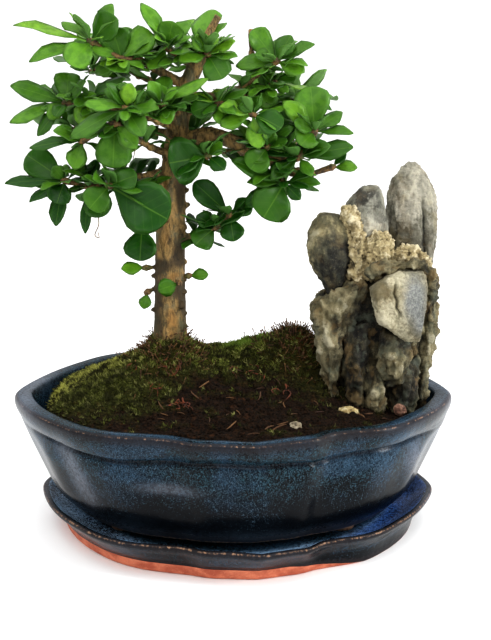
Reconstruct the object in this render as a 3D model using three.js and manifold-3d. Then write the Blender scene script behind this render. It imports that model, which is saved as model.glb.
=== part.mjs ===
// Small bonsai, a Carmona (fukien tea) tree in a lobed glazed pot on its matching saucer,
// with a group of landscape stones set in the soil beside it.
// Millimetres, +Z up, +X to the right of the front view, +Y to the back.
// The origin is the middle of the saucer's flat underside.

import * as THREE from 'three';
import { mergeVertices } from 'three/addons/utils/BufferGeometryUtils.js';
import Module from 'manifold-3d';

const wasm = await Module();
wasm.setup();

// Driving dimensions
const POT_HALF_LENGTH = 110;
const POT_HALF_WIDTH = 89;
const POT_UNDERSIDE = 13;
const POT_FLOOR = 19;
const FOOT_SPREAD = [52, 34];
const FOOT_RADIUS = 7;
const DRAIN_SPREAD = 34;
const POT_SHIFT = -1.6;
const END_DIP = 3;
const DIP_FROM = 50;
const DRAIN_RADIUS = 6;
const SCREEN_SIDE = 19;
const SCREEN_THICKNESS = 0.8;
const SCREEN_PITCH = 4.2;
const SCREEN_WINDOW = 5;
const SAUCER_HALF_LENGTH = 101;
const SAUCER_TURN = -2;
const SAUCER_BREADTH = 0.015;
const SAUCER_FLOOR = 9;
const SOIL_EDGE = 66;
const SOIL_CROWN = 11;
const SOIL_RINGS = [92.5, 74, 56, 39, 21, 0];
const SOIL_ENDS = 4;
const WALL_GAP = 0.8;
const LEAF_THICKNESS = 0.7;
const GAP = 0.3;
const STONE_GAP = 0.4;

// Fineness of the faceted surfaces
const POT_SEGMENTS = 40;
const STEM_SIDES = 8;
const LIMB_SIDES = 4;
const TWIG_SIDES = 4;

// The rim's plan: distance from the middle to the lip every few degrees of one quarter,
// from the pointed end (0) over a shoulder and a notch to the small point at the side (90).
const PLAN_ANGLES = [0, 8, 17, 32, 41, 49, 58, 65, 72, 80, 90];
const PLAN_RADII = [110, 106, 102.5, 98, 96.5, 93.5, 88, 86, 88.5, 88.5, 91];
const planCurve = new THREE.CubicInterpolant(PLAN_ANGLES, PLAN_RADII, 1);
// The side points stand these many degrees past the middle, as on hand-pressed ware
const POT_SKEW = 7.5;
const SAUCER_SKEW = 10.5;

// Profiles from the underside to the rim and back inside, as [half-length, height, lobing,
// what the pointed ends reach further]. Lobing is 1 for full lobes and 0 for a plain oval.
const POT_OUTSIDE = [
  [0, 13, 0, 0],
  [78, 13, 0.3, 3],
  [89.5, 23, 0.6, 4.7],
  [99, 48, 0.9, 7.2],
  [100, 53, 1, 7.8],
  [98.8, 56, 1, 7.6],
  [104, 58, 1, 5.4],
  [110, 66.5, 1, 1.7],
  [108.8, 69.6, 1, 1.2],
];
const POT_INSIDE = [
  [102.5, 69.8, 1, 1.2],
  [98.4, 67, 1, 4.5],
  [86, 26, 0.6, 5.5],
  [79, 19, 0.5, 4],
  [0, 19, 0, 0],
];
const SAUCER = [
  [0, 0, 0, 0],
  [88, 0, 0.5, 0],
  [89.5, 5.5, 0.5, 0],
  [92, 7.5, 0.8, 0],
  [97, 12, 1, 0],
  [100, 15.5, 1, 0],
  [98.4, 16.8, 1, 0],
  [92, 13, 1, 0],
  [79, 9, 0.6, 0],
  [0, 9, 0, 0],
];

// Mound of the soil: [x, y, height, radius] of each rise or dip
const MOUND = [
  [-33, 2, 13, 21],
  [8, 18, 9, 15],
  [32, 4, 22, 14],
  [-62, -6, 4, 20],
  [72, -14, -7, 24],
];

// Trunk: [x, y, z, radius] from the stump in the soil to the sawn top
const TRUNK = [
  [-33, 3, 50, 7],
  [-33.5, 3, 70, 10],
  [-33.5, 3, 84, 12],
  [-33, 2, 92, 9.2],
  [-33, 2, 104, 7.9],
  [-32.5, 2, 128, 7.5],
  [-32, 2, 146, 7.2],
  [-31, 2, 163, 6.6],
  [-29.5, 2, 182, 5.9],
  [-27, 2, 203, 5],
  [-23, 2, 217, 4.2],
  [-17.5, 2, 229, 3.4],
  [-13.5, 2, 239, 2.7],
  [-8, 2, 249, 2.7],
];

// The thick old limb that carries most of the right side
const THICK_LIMB = [[-27, 2, 190], [-12, 0, 194], [3, -3, 189], [17, -4, 182]];

// Bare cut twigs on the trunk and limbs: [start, end, radius]
const STUBS = [
  [[-26, 2, 143], [-20, 0, 145], 3],
  [[8, 5, 222], [7, 5, 243], 1.5],
  [[27, -2, 176], [31, -2, 178], 2],
  [[-25, 2, 160], [-22.6, 1, 161], 1.3],
  [[-25, 2, 167], [-22.8, 1, 168], 1.2],
];

// Limbs: wood is the bark-covered path grown from the trunk, with its radius at the start;
// rosettes are the leaf clusters along the green end of the limb. A rosette's leaves are
// [x, y, z of the tip from the cluster, width, facing], where facing 0 has the upper side up
// and 90 has it to the front. A rosette with no list carries leaves placed by rule.
const LIMBS = [
  {
    name: 'upper_left',
    wood: [[-23, 2, 216], [-38, 1, 225], [-46, -1, 229]],
    radius: 2.6,
    rosettes: [
      { at: [-53, -4, 229], leaves: [[-4, 0, 14, 15, 70], [14, 5, 12, 14, 60], [-13, 3, -7, 11, 50],
        [-2, -12, -6, 12, 60], [6, 14, 2, 12, 10]] },
      { at: [-67, -5, 237], leaves: [[-35, -4, 7, 9, 35], [-29, -8, 3, 9, 50], [-14, 4, 9, 8, 30],
        [10, 4, 17, 9, 60], [-8, -11, -11, 14, 70], [13, -4, 10, 15, 70], [-3, 15, 3, 12, 15]] },
    ],
  },
  {
    name: 'left',
    wood: [[-27, 2, 199], [-42, 2, 203], [-58, 0, 207]],
    radius: 2.8,
    rosettes: [
      { at: [-69, -3, 211], leaves: [[-5, -10, -3, 8, 60], [16, -7, 13, 10, 50], [8, 13, -3, 12, 15],
        [-4, -6, -12, 10, 60]] },
      { at: [-80, -3, 209], leaves: [[-25, -4, 8, 11, 60], [1, 6, 14, 13, 70], [-7, -8, -7, 9, 70],
        [11, -8, 10, 9, 45], [-26, -5, -9, 9, 45], [-13, -6, -15, 8, 45], [-10, 14, 2, 12, 15]] },
    ],
  },
  {
    name: 'left_near',
    wood: [[-28, 0, 197], [-36, -12, 201], [-42, -20, 204]],
    radius: 2.2,
    rosettes: [
      { at: [-49, -26, 207], leaves: [[-25, -6, -13, 11, 40], [15, -5, 0, 10, 45], [3, -6, 11, 9, 60],
        [-7, 6, 10, 12, 40], [-18, -8, 2, 9, 40], [8, -8, -12, 11, 60]] },
    ],
  },
  {
    name: 'left_front',
    wood: [[-29, 0, 184], [-40, -9, 189], [-48, -14, 194]],
    radius: 2.2,
    rosettes: [
      { at: [-55, -20, 200], leaves: [[-1, -4, -20, 17, 88], [-15, -6, -5, 10, 50],
        [-11, 7, 4, 10, 30], [8, -4, -13, 10, 60]] },
      { at: [-71, -14, 192], leaves: [[-4, -3, -13, 11, 80], [-24, -5, -3, 8, 40], [2, 10, 4, 11, 30],
        [-12, -8, 5, 9, 50]] },
    ],
  },
  {
    name: 'lower_left',
    wood: [[-30, 2, 177], [-46, -2, 174], [-60, -5, 171]],
    radius: 2.6,
    rosettes: [
      { at: [-70, -7, 170], leaves: [[8, -6, -13, 14, 80], [-2, -3, -22, 6, 60], [6, 12, 2, 12, 15],
        [-4, 11, -8, 10, 30]] },
      { at: [-81, -8, 173], leaves: [[-18, 2, 12, 15, 75], [-5, -3, 7, 8, 70], [-28, -3, -1, 8, 50],
        [-18, -5, -6, 7, 45], [-3, -7, -10, 12, 75], [-17, -3, -14, 9, 50], [-8, 14, 2, 12, 15]] },
    ],
  },
  {
    name: 'low_front',
    wood: [[-31, 0, 166], [-42, -10, 168], [-50, -17, 170]],
    radius: 2.2,
    rosettes: [
      { at: [-58, -23, 172], leaves: [[27, -4, -15, 25, 86], [-9, -4, -10, 14, 80], [13, -2, 5, 12, 60],
        [-6, -10, 4, 11, 50], [-10, 8, -6, 11, 30]] },
    ],
  },
  {
    name: 'crown_left',
    wood: [[-19, 2, 224], [-26, 1, 230]],
    radius: 2,
    rosettes: [
      { at: [-32, 0, 234], leaves: [[-19, -2, 14, 9, 40], [3, -4, 12, 13, 70], [11, 3, 12, 10, 40],
        [-8, -9, -10, 10, 60], [-14, 6, 2, 11, 30], [-2, 14, 4, 12, 10]] },
    ],
  },
  {
    name: 'crown',
    wood: [[-17.5, 2, 229], [-15, -3, 231]],
    radius: 2,
    rosettes: [
      { at: [-13, -7, 231], leaves: [[13, -3, 6, 8, 40], [14, -4, -1, 7, 40], [7, -6, -11, 14, 70],
        [-13, -6, -3, 11, 50], [-5, -4, 9, 10, 60]] },
    ],
  },
  {
    name: 'front',
    wood: [[-27, 0, 204], [-31, -9, 207]],
    radius: 1.8,
    rosettes: [
      { at: [-34, -17, 208], leaves: [[22, -5, 12, 9, 45], [-5, -5, 11, 9, 60], [8, -7, 7, 8, 40],
        [-13, -7, 2, 10, 50], [4, -6, -8, 10, 70]] },
    ],
  },
  {
    name: 'right_front',
    wood: [[-25, 2, 204], [-14, -4, 207]],
    radius: 2,
    rosettes: [
      { at: [-8, -8, 209], leaves: [[-12, -7, -4, 12, 55], [14, -5, 6, 9, 40], [4, 9, 6, 11, 20],
        [5, -8, -9, 12, 65]] },
      { at: [8, -14, 204], leaves: [[-2, -4, 8, 13, 60], [-15, -5, -5, 10, 50], [13, -6, -6, 14, 55],
        [4, -8, -14, 11, 65], [-16, -4, 3, 10, 45]] },
    ],
  },
  {
    name: 'middle_front',
    wood: [[-27, 0, 187], [-20, -8, 186]],
    radius: 1.8,
    rosettes: [
      { at: [-13, -14, 185], leaves: [[-18, -5, -3, 23, 84], [7, -3, 6, 10, 50], [8, -6, -6, 9, 60]] },
    ],
  },
  {
    name: 'right_inner',
    wood: [[3, -3, 189], [9, -7, 189]],
    radius: 1.8,
    rosettes: [
      { at: [15, -11, 189], leaves: [[-8, -5, -10, 13, 80], [9, -6, 3, 9, 50], [1, -4, 9, 9, 60]] },
    ],
  },
  {
    name: 'right_hanging',
    wood: [[17, -4, 182], [21, -6, 177]],
    radius: 2,
    rosettes: [
      { at: [23, -9, 172], leaves: [[-10, -5, -16, 20, 88], [-25, -3, 11, 11, 60], [17, -2, 0, 7, 50],
        [6, -2, -9, 7, 80], [-19, 2, -11, 10, 70], [3, 12, -7, 12, 20]] },
    ],
  },
  {
    name: 'right_middle',
    wood: [[14, -4, 184], [24, -7, 183]],
    radius: 2,
    rosettes: [
      { at: [30, -9, 184], leaves: [[14, -7, 6, 10, 60], [25, -3, 5, 11, 55], [-16, -7, -3, 9, 60],
        [-4, 12, 2, 12, 30]] },
      { at: [37, -9, 196], leaves: [[-2, 4, 21, 17, 85], [-15, -2, 14, 10, 70], [-10, -7, 5, 9, 70],
        [13, 2, 9, 9, 50], [-7, -8, -6, 13, 60], [9, 12, 2, 12, 15]] },
    ],
  },
  {
    name: 'right_tip',
    wood: [[16, -3, 183], [27, -2, 176], [37, -2, 176]],
    radius: 2,
    rosettes: [
      { at: [46, -2, 179], leaves: [[12, -2, 0, 7, 60], [8, 1, 5, 5, 40]] },
    ],
  },
  {
    name: 'upper_right',
    wood: [[-23, 3, 212], [-6, 5, 212], [4, 5, 217], [10, 4, 223]],
    radius: 2.6,
    rosettes: [
      { at: [19, 1, 228], leaves: [[-14, 2, 12, 12, 60], [7, 0, 12, 11, 60], [18, -2, 8, 8, 45],
        [14, -4, -2, 11, 60], [-19, -3, -2, 9, 60], [-10, -7, 3, 9, 50], [4, 13, 4, 12, 15],
        [-8, 12, 0, 12, 15]] },
    ],
  },
  {
    name: 'right_high',
    wood: [[0, 5, 213], [8, 8, 211], [13, 7, 214]],
    radius: 1.8,
    rosettes: [
      { at: [18, 5, 218], leaves: [[-1, -9, -3, 11, 80], [11, -2, 3, 7, 50], [-5, -6, -12, 11, 80],
        [7, -4, -4, 6, 60], [-4, 12, -3, 12, 20]] },
    ],
  },
  {
    name: 'low_right',
    wood: [[-26, 2, 144], [-18, 0, 146]],
    radius: 2.6,
    rosettes: [
      { at: [-10, -2, 150], leaves: [[-10, -5, -8, 13, 75], [-9, -3, 6, 10, 60], [1, 9, -2, 10, 30]] },
      { at: [-3, -3, 156], leaves: [[-17, -1, 16, 12, 75], [2, -5, -12, 12, 80], [11, 2, 5, 10, 70],
        [3, 11, 0, 12, 20]] },
    ],
  },
  {
    name: 'bud_upper',
    wood: [[-32, 0, 148], [-40, -3, 149]],
    radius: 1.6,
    rosettes: [{ at: [-45, -6, 152], leaves: [[-1, -5, -17, 16, 86]] }],
  },
  {
    name: 'bud_left',
    wood: [[-33, 1, 128], [-41, 0, 130]],
    radius: 1.4,
    rosettes: [{ at: [-44, -1, 130], leaves: [[-12, -3, 0, 8, 60]] }],
  },
  {
    name: 'bud_low',
    wood: [[-33, 1, 118], [-41, 0, 119]],
    radius: 1.4,
    rosettes: [{ at: [-43.5, -1, 118], leaves: [[-2, -3, -8, 7, 85]] }],
  },
  {
    name: 'bud_front',
    wood: [[-30, 1, 123], [-28, -7, 124]],
    radius: 1.4,
    rosettes: [{ at: [-27.5, -9.5, 124], leaves: [[-10, -3, -3, 10, 85]] }],
  },
  {
    name: 'bud_right',
    wood: [[-32, 1, 125], [-26, 0, 125.5]],
    radius: 1.4,
    rosettes: [{ at: [-23.5, -1, 126], leaves: [[10, -2, 1, 7, 60]] }],
  },
  {
    name: 'back_upper_left',
    wood: [[-24, 4, 212], [-38, 16, 218], [-48, 24, 222]],
    radius: 2.4,
    rosettes: [{ at: [-57, 31, 226] }, { at: [-72, 32, 224] }],
  },
  {
    name: 'back_left',
    wood: [[-28, 4, 194], [-44, 16, 196], [-56, 23, 198]],
    radius: 2.4,
    rosettes: [{ at: [-66, 28, 201] }, { at: [-80, 24, 196] }],
  },
  {
    name: 'back_low_left',
    wood: [[-30, 5, 172], [-42, 16, 170], [-50, 22, 170]],
    radius: 2.2,
    rosettes: [{ at: [-58, 28, 172] }],
  },
  {
    name: 'back_top',
    wood: [[-20, 4, 222], [-19, 16, 228], [-18, 24, 231]],
    radius: 2.2,
    rosettes: [{ at: [-17, 31, 233] }, { at: [-22, 44, 226] }],
  },
  {
    name: 'back_low',
    wood: [[-29, 5, 184], [-26, 20, 188], [-24, 30, 190]],
    radius: 2.4,
    rosettes: [{ at: [-22, 39, 193] }, { at: [-30, 51, 196] }],
  },
  {
    name: 'back_right',
    wood: [[-23, 4, 208], [-6, 16, 208], [6, 22, 209]],
    radius: 2.4,
    rosettes: [{ at: [15, 27, 212] }, { at: [30, 27, 210] }],
  },
  {
    name: 'back_low_right',
    wood: [[-27, 4, 190], [-10, 16, 186], [4, 22, 184]],
    radius: 2.2,
    rosettes: [{ at: [14, 27, 184] }, { at: [28, 22, 189] }],
  },
];

// Leaves placed by rule round a rosette
const RULE_COUNT = 5;
const RULE_TURN = 137.5;
const RULE_LENGTH = [16, 24];
const RULE_WIDTH = 0.6;

// Half outline of a blade from stalk to tip, as [along, across] parts of length and half width:
// a broad blade has a blunt tooth at its shoulder, a slim one is plain
const BROAD_EDGE = [[0.38, 0.62], [0.78, 1], [0.94, 0.54]];
const SLIM_EDGE = [[0.42, 0.74], [0.82, 0.92]];
const BROAD_FROM = 12;
const BLADE_ARCH = 0.16;
const BLADE_FOLD = 0.2;
const LEAF_FULLNESS = 1.14;
const STALK_SINK = 1.4;
const CLUSTER_RADIUS = 1.8;
const BUD_LENGTH = 2;
const BUD_RADIUS = 1.1;
const SMALL_CROSSING = 1;
// Turns tried, in degrees up or down, where a leaf would cross another limb's
const BENDS = [0, 12, -12, 24, -24, 38, -38];

// Stones: level sections from the bottom up, as [height, left, right, front, back]
const STONES = {
  stone_tall: { sides: 9, blocky: 2.4, seed: 3, levels: [[104, 78, 93, -6, 12], [129, 74, 97, -7, 16],
    [140, 73, 99, -8, 18], [149, 72.5, 100, -8, 18], [158, 72, 99, -7, 17], [166, 72.5, 98, -5, 15],
    [173, 75.5, 94.5, -3, 12], [178, 80, 90, 0, 9], [181, 83.5, 87, 2, 6]] },
  stone_middle: { sides: 8, blocky: 3, seed: 11, levels: [[128, 56, 72, -9, 9], [140, 53, 74.5, -12, 10],
    [153, 51.5, 74.5, -12, 10], [160, 52, 73, -11, 9], [166, 56.5, 71, -8, 7], [170, 61, 69, -4, 4]] },
  stone_left: { sides: 9, blocky: 2.2, seed: 21, levels: [[117, 44, 51, -14, 0], [124, 41, 54, -17, 4],
    [133, 35.5, 56, -19, 7], [141, 33, 57, -20, 8], [147, 33.5, 57, -19, 7], [153, 36, 55, -16, 5],
    [157, 40, 50, -12, 1]] },
  stone_front: { sides: 8, blocky: 4.5, seed: 35, levels: [[98, 80, 88, -24, -14], [105, 70, 89.5, -28, -13],
    [115, 63.5, 91, -30, -12], [124, 63.5, 91.5, -29, -12], [130, 71, 91, -26, -12],
    [132, 76, 89, -23, -14]] },
};
const CRAG = [
  { sides: 9, blocky: 2.8, seed: 41, levels: [[56, 50, 92, -12, 14], [70, 43, 94, -15, 18],
    [86, 43, 96, -15, 19], [100, 44, 97, -15, 19], [112, 46, 97.5, -14, 18], [124, 46, 96.5, -12, 17],
    [130, 60, 95, -8, 14]] },
  { sides: 7, blocky: 2.6, seed: 43, levels: [[98, 38, 56, -20, 0], [107, 36.5, 60, -22, 4],
    [114, 35.5, 62, -22, 4], [119, 42, 63, -21, 4], [123, 50, 64, -19, 2], [126, 57, 63, -16, -4]] },
  { sides: 6, blocky: 2, seed: 45, levels: [[66, 44.5, 47.5, -20, -15], [71, 43.5, 49, -22, -12],
    [80, 41.5, 49, -23, -10], [90, 39.5, 50, -24, -8], [100, 38, 52, -24, -6], [108, 38, 54, -20, -4]] },
  { sides: 6, blocky: 2, seed: 47, levels: [[60, 55, 60, -22, -12], [68, 54, 61.5, -25, -12],
    [77, 52.5, 63, -27, -10], [90, 52, 64, -26, -8], [104, 51, 64, -20, -8]] },
  { sides: 6, blocky: 2, seed: 49, levels: [[57, 64, 71, -22, -12], [63, 63, 72, -26, -10],
    [71, 62, 72.5, -27, -10], [84, 63, 71, -20, -8]] },
  { sides: 7, blocky: 2.4, seed: 51, levels: [[76, 72, 80, -23, -12], [83, 68.5, 84, -29, -10],
    [92, 67, 85, -29, -10], [100, 69, 83, -22, -10]] },
  { sides: 6, blocky: 2, seed: 53, levels: [[60, 76, 88, -20, -8], [67, 75, 89, -24, -6],
    [76, 74, 89.5, -25, -6], [88, 78, 90, -19, -6]] },
  { sides: 6, blocky: 2, seed: 55, levels: [[60, 88, 94.5, -8, 4], [72, 87, 95, -12, 5],
    [86, 89, 98, -12, 5], [100, 89, 99.5, -11, 6], [114, 89, 98.5, -10, 5], [126, 90, 98, -8, 4]] },
];
const MORTAR = [
  { sides: 7, blocky: 2.4, seed: 61, levels: [[126, 53, 62, -16, 0], [136, 53, 62, -18, 2],
    [148, 52, 62, -18, 2], [156, 49, 60, -17, 1], [161, 51, 57, -13, -5]] },
  { sides: 7, blocky: 2.6, seed: 63, levels: [[126, 58, 78, -17, 0], [137, 59, 78, -18, 2],
    [145, 60, 76, -17, 2], [149, 63, 72, -14, 0]] },
  { sides: 7, blocky: 2.6, seed: 65, levels: [[131, 74, 96, -18, -3], [137, 74, 93, -18, -2],
    [141.5, 78, 87, -15, -5]] },
];
const PEBBLES = {
  pebble_tan: { sides: 7, blocky: 2, seed: 71, levels: [[62, 49, 56, -36, -32], [65, 45.8, 60, -39, -29],
    [68, 47, 58.5, -38, -30], [69.4, 51, 55, -36, -33]] },
  pebble_red: { sides: 6, blocky: 2, seed: 73, levels: [[62, 77, 81, -27, -23], [64, 75, 83, -28.5, -21.5],
    [66.5, 75.5, 82, -28, -22], [67.8, 77, 80, -26, -24]] },
  pebble_pale: { sides: 6, blocky: 2, seed: 75, levels: [[66, 25, 28.5, -61.5, -58.5],
    [67.5, 23.5, 30.5, -63, -57], [69.5, 24, 30, -62.5, -57.5], [70.4, 25.5, 28.5, -61, -59]] },
};
const ROUGHNESS = 0.12;

const radians = THREE.MathUtils.degToRad;
const vector = (list) => new THREE.Vector3(list[0], list[1], list[2]);

// A fixed draw from 0 to 1 for each whole number
function draw(number) {
  const wave = Math.sin(number * 12.9898 + 4.1414) * 43758.5453;
  return wave - Math.floor(wave);
}

// A closed geometry becomes a solid that can be joined and cut
function toSolid(geometry) {
  const bare = geometry.clone();
  bare.deleteAttribute('normal');
  bare.deleteAttribute('uv');
  const merged = mergeVertices(bare, 1e-4);
  const corners = merged.index.array;
  const faces = [];
  for (let i = 0; i < corners.length; i += 3) {
    const [a, b, c] = [corners[i], corners[i + 1], corners[i + 2]];
    if (a !== b && b !== c && c !== a) {
      faces.push(a, b, c);
    }
  }
  const mesh = new wasm.Mesh({
    numProp: 3,
    vertProperties: new Float32Array(merged.attributes.position.array),
    triVerts: new Uint32Array(faces),
  });
  return new wasm.Manifold(mesh);
}

// A solid becomes a geometry with flat faces
function toGeometry(solid) {
  const mesh = solid.getMesh();
  const geometry = new THREE.BufferGeometry();
  geometry.setAttribute('position', new THREE.BufferAttribute(mesh.vertProperties, 3));
  geometry.setIndex(new THREE.BufferAttribute(mesh.triVerts, 1));
  geometry.computeVertexNormals();
  return geometry;
}

const joined = (solids) => solids.reduce((whole, piece) => whole.add(piece));

// The largest body of a cut solid, without the scraps
function largest(solid) {
  return solid.decompose().reduce((most, piece) => (piece.volume() > most.volume() ? piece : most));
}

// Distance from the middle to the edge in a direction, in parts of the pot's half length
function planRadius(angle, lobing, skew) {
  const turned = angle - radians(skew) * Math.sin(angle) ** 2;
  const folded = Math.atan2(Math.abs(Math.sin(turned)), Math.abs(Math.cos(turned)));
  const lobed = planCurve.evaluate(THREE.MathUtils.radToDeg(folded))[0];
  const across = Math.hypot(POT_HALF_WIDTH * Math.cos(angle), POT_HALF_LENGTH * Math.sin(angle));
  const oval = (POT_HALF_LENGTH * POT_HALF_WIDTH) / across;
  return THREE.MathUtils.lerp(oval, lobed, lobing) / POT_HALF_LENGTH;
}

// A lathe whose round section is pulled out to the lobed plan; its upper part dips at the ends
function lobedLathe(profile, skew, height = (x, y, z) => z) {
  const points = profile.map(([radius, z]) => new THREE.Vector2(radius, z));
  const lathe = new THREE.LatheGeometry(points, POT_SEGMENTS);
  const place = lathe.attributes.position;
  for (let i = 0; i < place.count; i += 1) {
    const [full, level, lobing, ends] = profile[i % profile.length];
    const radius = Math.hypot(place.getX(i), place.getZ(i));
    const angle = Math.atan2(place.getX(i), place.getZ(i));
    const reach = radius * planRadius(angle, lobing, skew);
    const x = reach * Math.cos(angle) * (1 + ends / Math.max(full, 1));
    const y = reach * Math.sin(angle);
    const z = height(x, y, level);
    const upper = THREE.MathUtils.clamp((z - DIP_FROM) / (SOIL_EDGE - DIP_FROM), 0, 1);
    place.setXYZ(i, x, y, z - END_DIP * upper * Math.abs(x / POT_HALF_LENGTH) ** 5);
  }
  return toSolid(lathe);
}

// An upright round post
function post(radius, low, high, x, y, sides = 16) {
  const cylinder = new THREE.CylinderGeometry(radius, radius, high - low, sides);
  cylinder.rotateX(Math.PI / 2);
  cylinder.translate(x, y, (low + high) / 2);
  return toSolid(cylinder);
}

// A tapered round stem along a smooth path; ribs pull its foot out into root ridges
function stem(path, radii, sides, steps, ribs = 0) {
  const curve = new THREE.CatmullRomCurve3(path.map(vector), false, 'centripetal');
  const frames = curve.computeFrenetFrames(steps, false);
  const tube = new THREE.CylinderGeometry(1, 1, 1, sides, steps);
  const place = tube.attributes.position;
  for (let i = 0; i < place.count; i += 1) {
    const along = place.getY(i) + 0.5;
    const step = Math.round(along * steps);
    const knot = (step / steps) * (radii.length - 1);
    const before = Math.min(Math.floor(knot), radii.length - 2);
    const radius = THREE.MathUtils.lerp(radii[before], radii[before + 1], knot - before);
    const middle = curve.getPoint(step / steps);
    const angle = Math.atan2(place.getZ(i), place.getX(i));
    const ridge = 1 + ribs * Math.cos(5 * angle) * Math.exp(-(((middle.z - 88) / 8) ** 2));
    const reach = Math.hypot(place.getX(i), place.getZ(i)) * radius * ridge;
    middle.addScaledVector(frames.normals[step], reach * Math.cos(angle));
    middle.addScaledVector(frames.binormals[step], -reach * Math.sin(angle));
    place.setXYZ(i, middle.x, middle.y, middle.z);
  }
  return toSolid(tube);
}

// A rough stone laid up from its level sections, grown outwards by the margin. A section lies
// between an oval (blocky 2) and a rectangle (large), and its corners are knocked in by chance.
function stone(form, margin = 0) {
  const steps = form.levels.length - 1;
  const block = new THREE.CylinderGeometry(1, 1, 1, form.sides, steps);
  const place = block.attributes.position;
  for (let i = 0; i < place.count; i += 1) {
    const step = Math.round((place.getY(i) + 0.5) * steps);
    const [height, left, right, front, back] = form.levels[step];
    const out = Math.hypot(place.getX(i), place.getZ(i));
    const angle = Math.atan2(-place.getZ(i), place.getX(i));
    const quarter = Math.round((2 * angle * form.sides) / Math.PI);
    const corner = (quarter + 4 * form.sides) % (4 * form.sides);
    const [level, depth] = [Math.cos(angle), Math.sin(angle)];
    const bulge = (Math.abs(level) ** form.blocky + Math.abs(depth) ** form.blocky) ** (-1 / form.blocky);
    const reach = bulge * (1 - ROUGHNESS * draw(form.seed + 31 * step + corner));
    const end = step === 0 ? -margin : Number(step === steps) * margin;
    place.setXYZ(
      i,
      (left + right) / 2 + out * level * ((reach * (right - left)) / 2 + margin),
      (front + back) / 2 + out * depth * ((reach * (back - front)) / 2 + margin),
      height + end,
    );
  }
  return toSolid(block);
}

// Height of the soil at a place
function moundHeight(x, y) {
  const out = (x / POT_HALF_LENGTH) ** 2 + (y / POT_HALF_WIDTH) ** 2;
  let height = SOIL_EDGE + SOIL_CROWN * Math.max(0, 0.8 - out);
  for (const [middleX, middleY, rise, radius] of MOUND) {
    height += rise * Math.exp(-((x - middleX) ** 2 + (y - middleY) ** 2) / (2 * radius ** 2));
  }
  const ripple = Math.sin(x * 0.31 + 2 * Math.sin(y * 0.17)) * Math.cos(y * 0.27 + x * 0.09);
  return height + 0.9 * ripple * Math.min(1, Math.max(0, 3 * (0.75 - out)));
}

// One blade: a thin prism arched along its midrib and folded a little across it
function blade(base, tip, width, facing, bend = 0) {
  const along = tip.clone().sub(base);
  const length = along.length();
  along.normalize();
  const level = new THREE.Vector3(-along.y, along.x, 0);
  if (level.lengthSq() > 1e-6) {
    along.applyAxisAngle(level.normalize(), -radians(bend));
  }
  const upper = new THREE.Vector3(0, -Math.sin(radians(facing)), Math.cos(radians(facing)));
  upper.addScaledVector(along, -upper.dot(along)).normalize();
  const side = along.clone().cross(upper);
  const half = width < BROAD_FROM ? SLIM_EDGE : BROAD_EDGE;
  const edge = [[0, 0], ...half, [1, 0], ...half.toReversed().map(([part, across]) => [part, -across])];
  const corners = [];
  for (const depth of [0, -LEAF_THICKNESS]) {
    for (const [part, across] of edge) {
      const rise = length * BLADE_ARCH * (part - part * part)
        + (width / 2) * BLADE_FOLD * Math.abs(across) + depth;
      const point = base.clone().addScaledVector(along, part * length);
      point.addScaledVector(side, (across * width) / 2).addScaledVector(upper, rise);
      corners.push(point.x, point.y, point.z);
    }
  }
  const count = edge.length;
  const crown = half.length + 1;
  const faces = [];
  for (let i = 0; i < count; i += 1) {
    const next = (i + 1) % count;
    faces.push(i, count + next, next);
    faces.push(i, count + i, count + next);
  }
  // The two halves of each face meet along the midrib and fan out from the tip
  for (let i = 0; i < crown - 1; i += 1) {
    const left = (count - i) % count;
    const right = count - i - 1;
    faces.push(crown, i, i + 1, count + crown, count + i + 1, count + i);
    faces.push(crown, right, left, count + crown, count + left, count + right);
  }
  const geometry = new THREE.BufferGeometry();
  geometry.setAttribute('position', new THREE.Float32BufferAttribute(corners, 3));
  geometry.setIndex(faces);
  return toSolid(geometry);
}

// Leaves that a rosette has when none are given: turned round by a fixed angle each
function ruleLeaves(seed) {
  const leaves = [];
  for (let k = 0; k < RULE_COUNT; k += 1) {
    const turn = radians(RULE_TURN * k + 360 * draw(seed));
    const lift = radians(55 - 16 * k + 14 * draw(seed + 10 + k));
    const length = THREE.MathUtils.lerp(RULE_LENGTH[0], RULE_LENGTH[1], draw(seed + 20 + k));
    const level = length * Math.cos(lift);
    const width = length * RULE_WIDTH * (0.85 + 0.3 * draw(seed + 30 + k));
    const facing = -20 + 40 * draw(seed + 40 + k);
    leaves.push([level * Math.cos(turn), level * Math.sin(turn), length * Math.sin(lift), width, facing]);
  }
  return leaves;
}

// Pottery
function makePot() {
  const body = lobedLathe([...POT_OUTSIDE, ...POT_INSIDE], POT_SKEW);
  const feet = [];
  const holes = [];
  for (const side of [-1, 1]) {
    holes.push(post(DRAIN_RADIUS, POT_UNDERSIDE - 1, POT_FLOOR + 1, side * DRAIN_SPREAD, 0));
    for (const end of [-1, 1]) {
      const [x, y] = [end * FOOT_SPREAD[0], side * FOOT_SPREAD[1]];
      feet.push(post(FOOT_RADIUS, SAUCER_FLOOR + GAP, POT_UNDERSIDE + 1, x, y, 12));
    }
  }
  return joined([body, ...feet]).subtract(joined(holes)).translate([POT_SHIFT, 0, 0]);
}

function makeSaucer() {
  const scale = SAUCER_HALF_LENGTH / 100;
  const ring = lobedLathe(SAUCER, SAUCER_SKEW);
  return ring.scale([scale, scale + SAUCER_BREADTH, 1]).rotate([0, 0, SAUCER_TURN]);
}

// A rectangular block round a middle
function block(size, x, y, z) {
  const box = new THREE.BoxGeometry(...size);
  box.translate(x, y, z);
  return toSolid(box);
}

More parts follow.
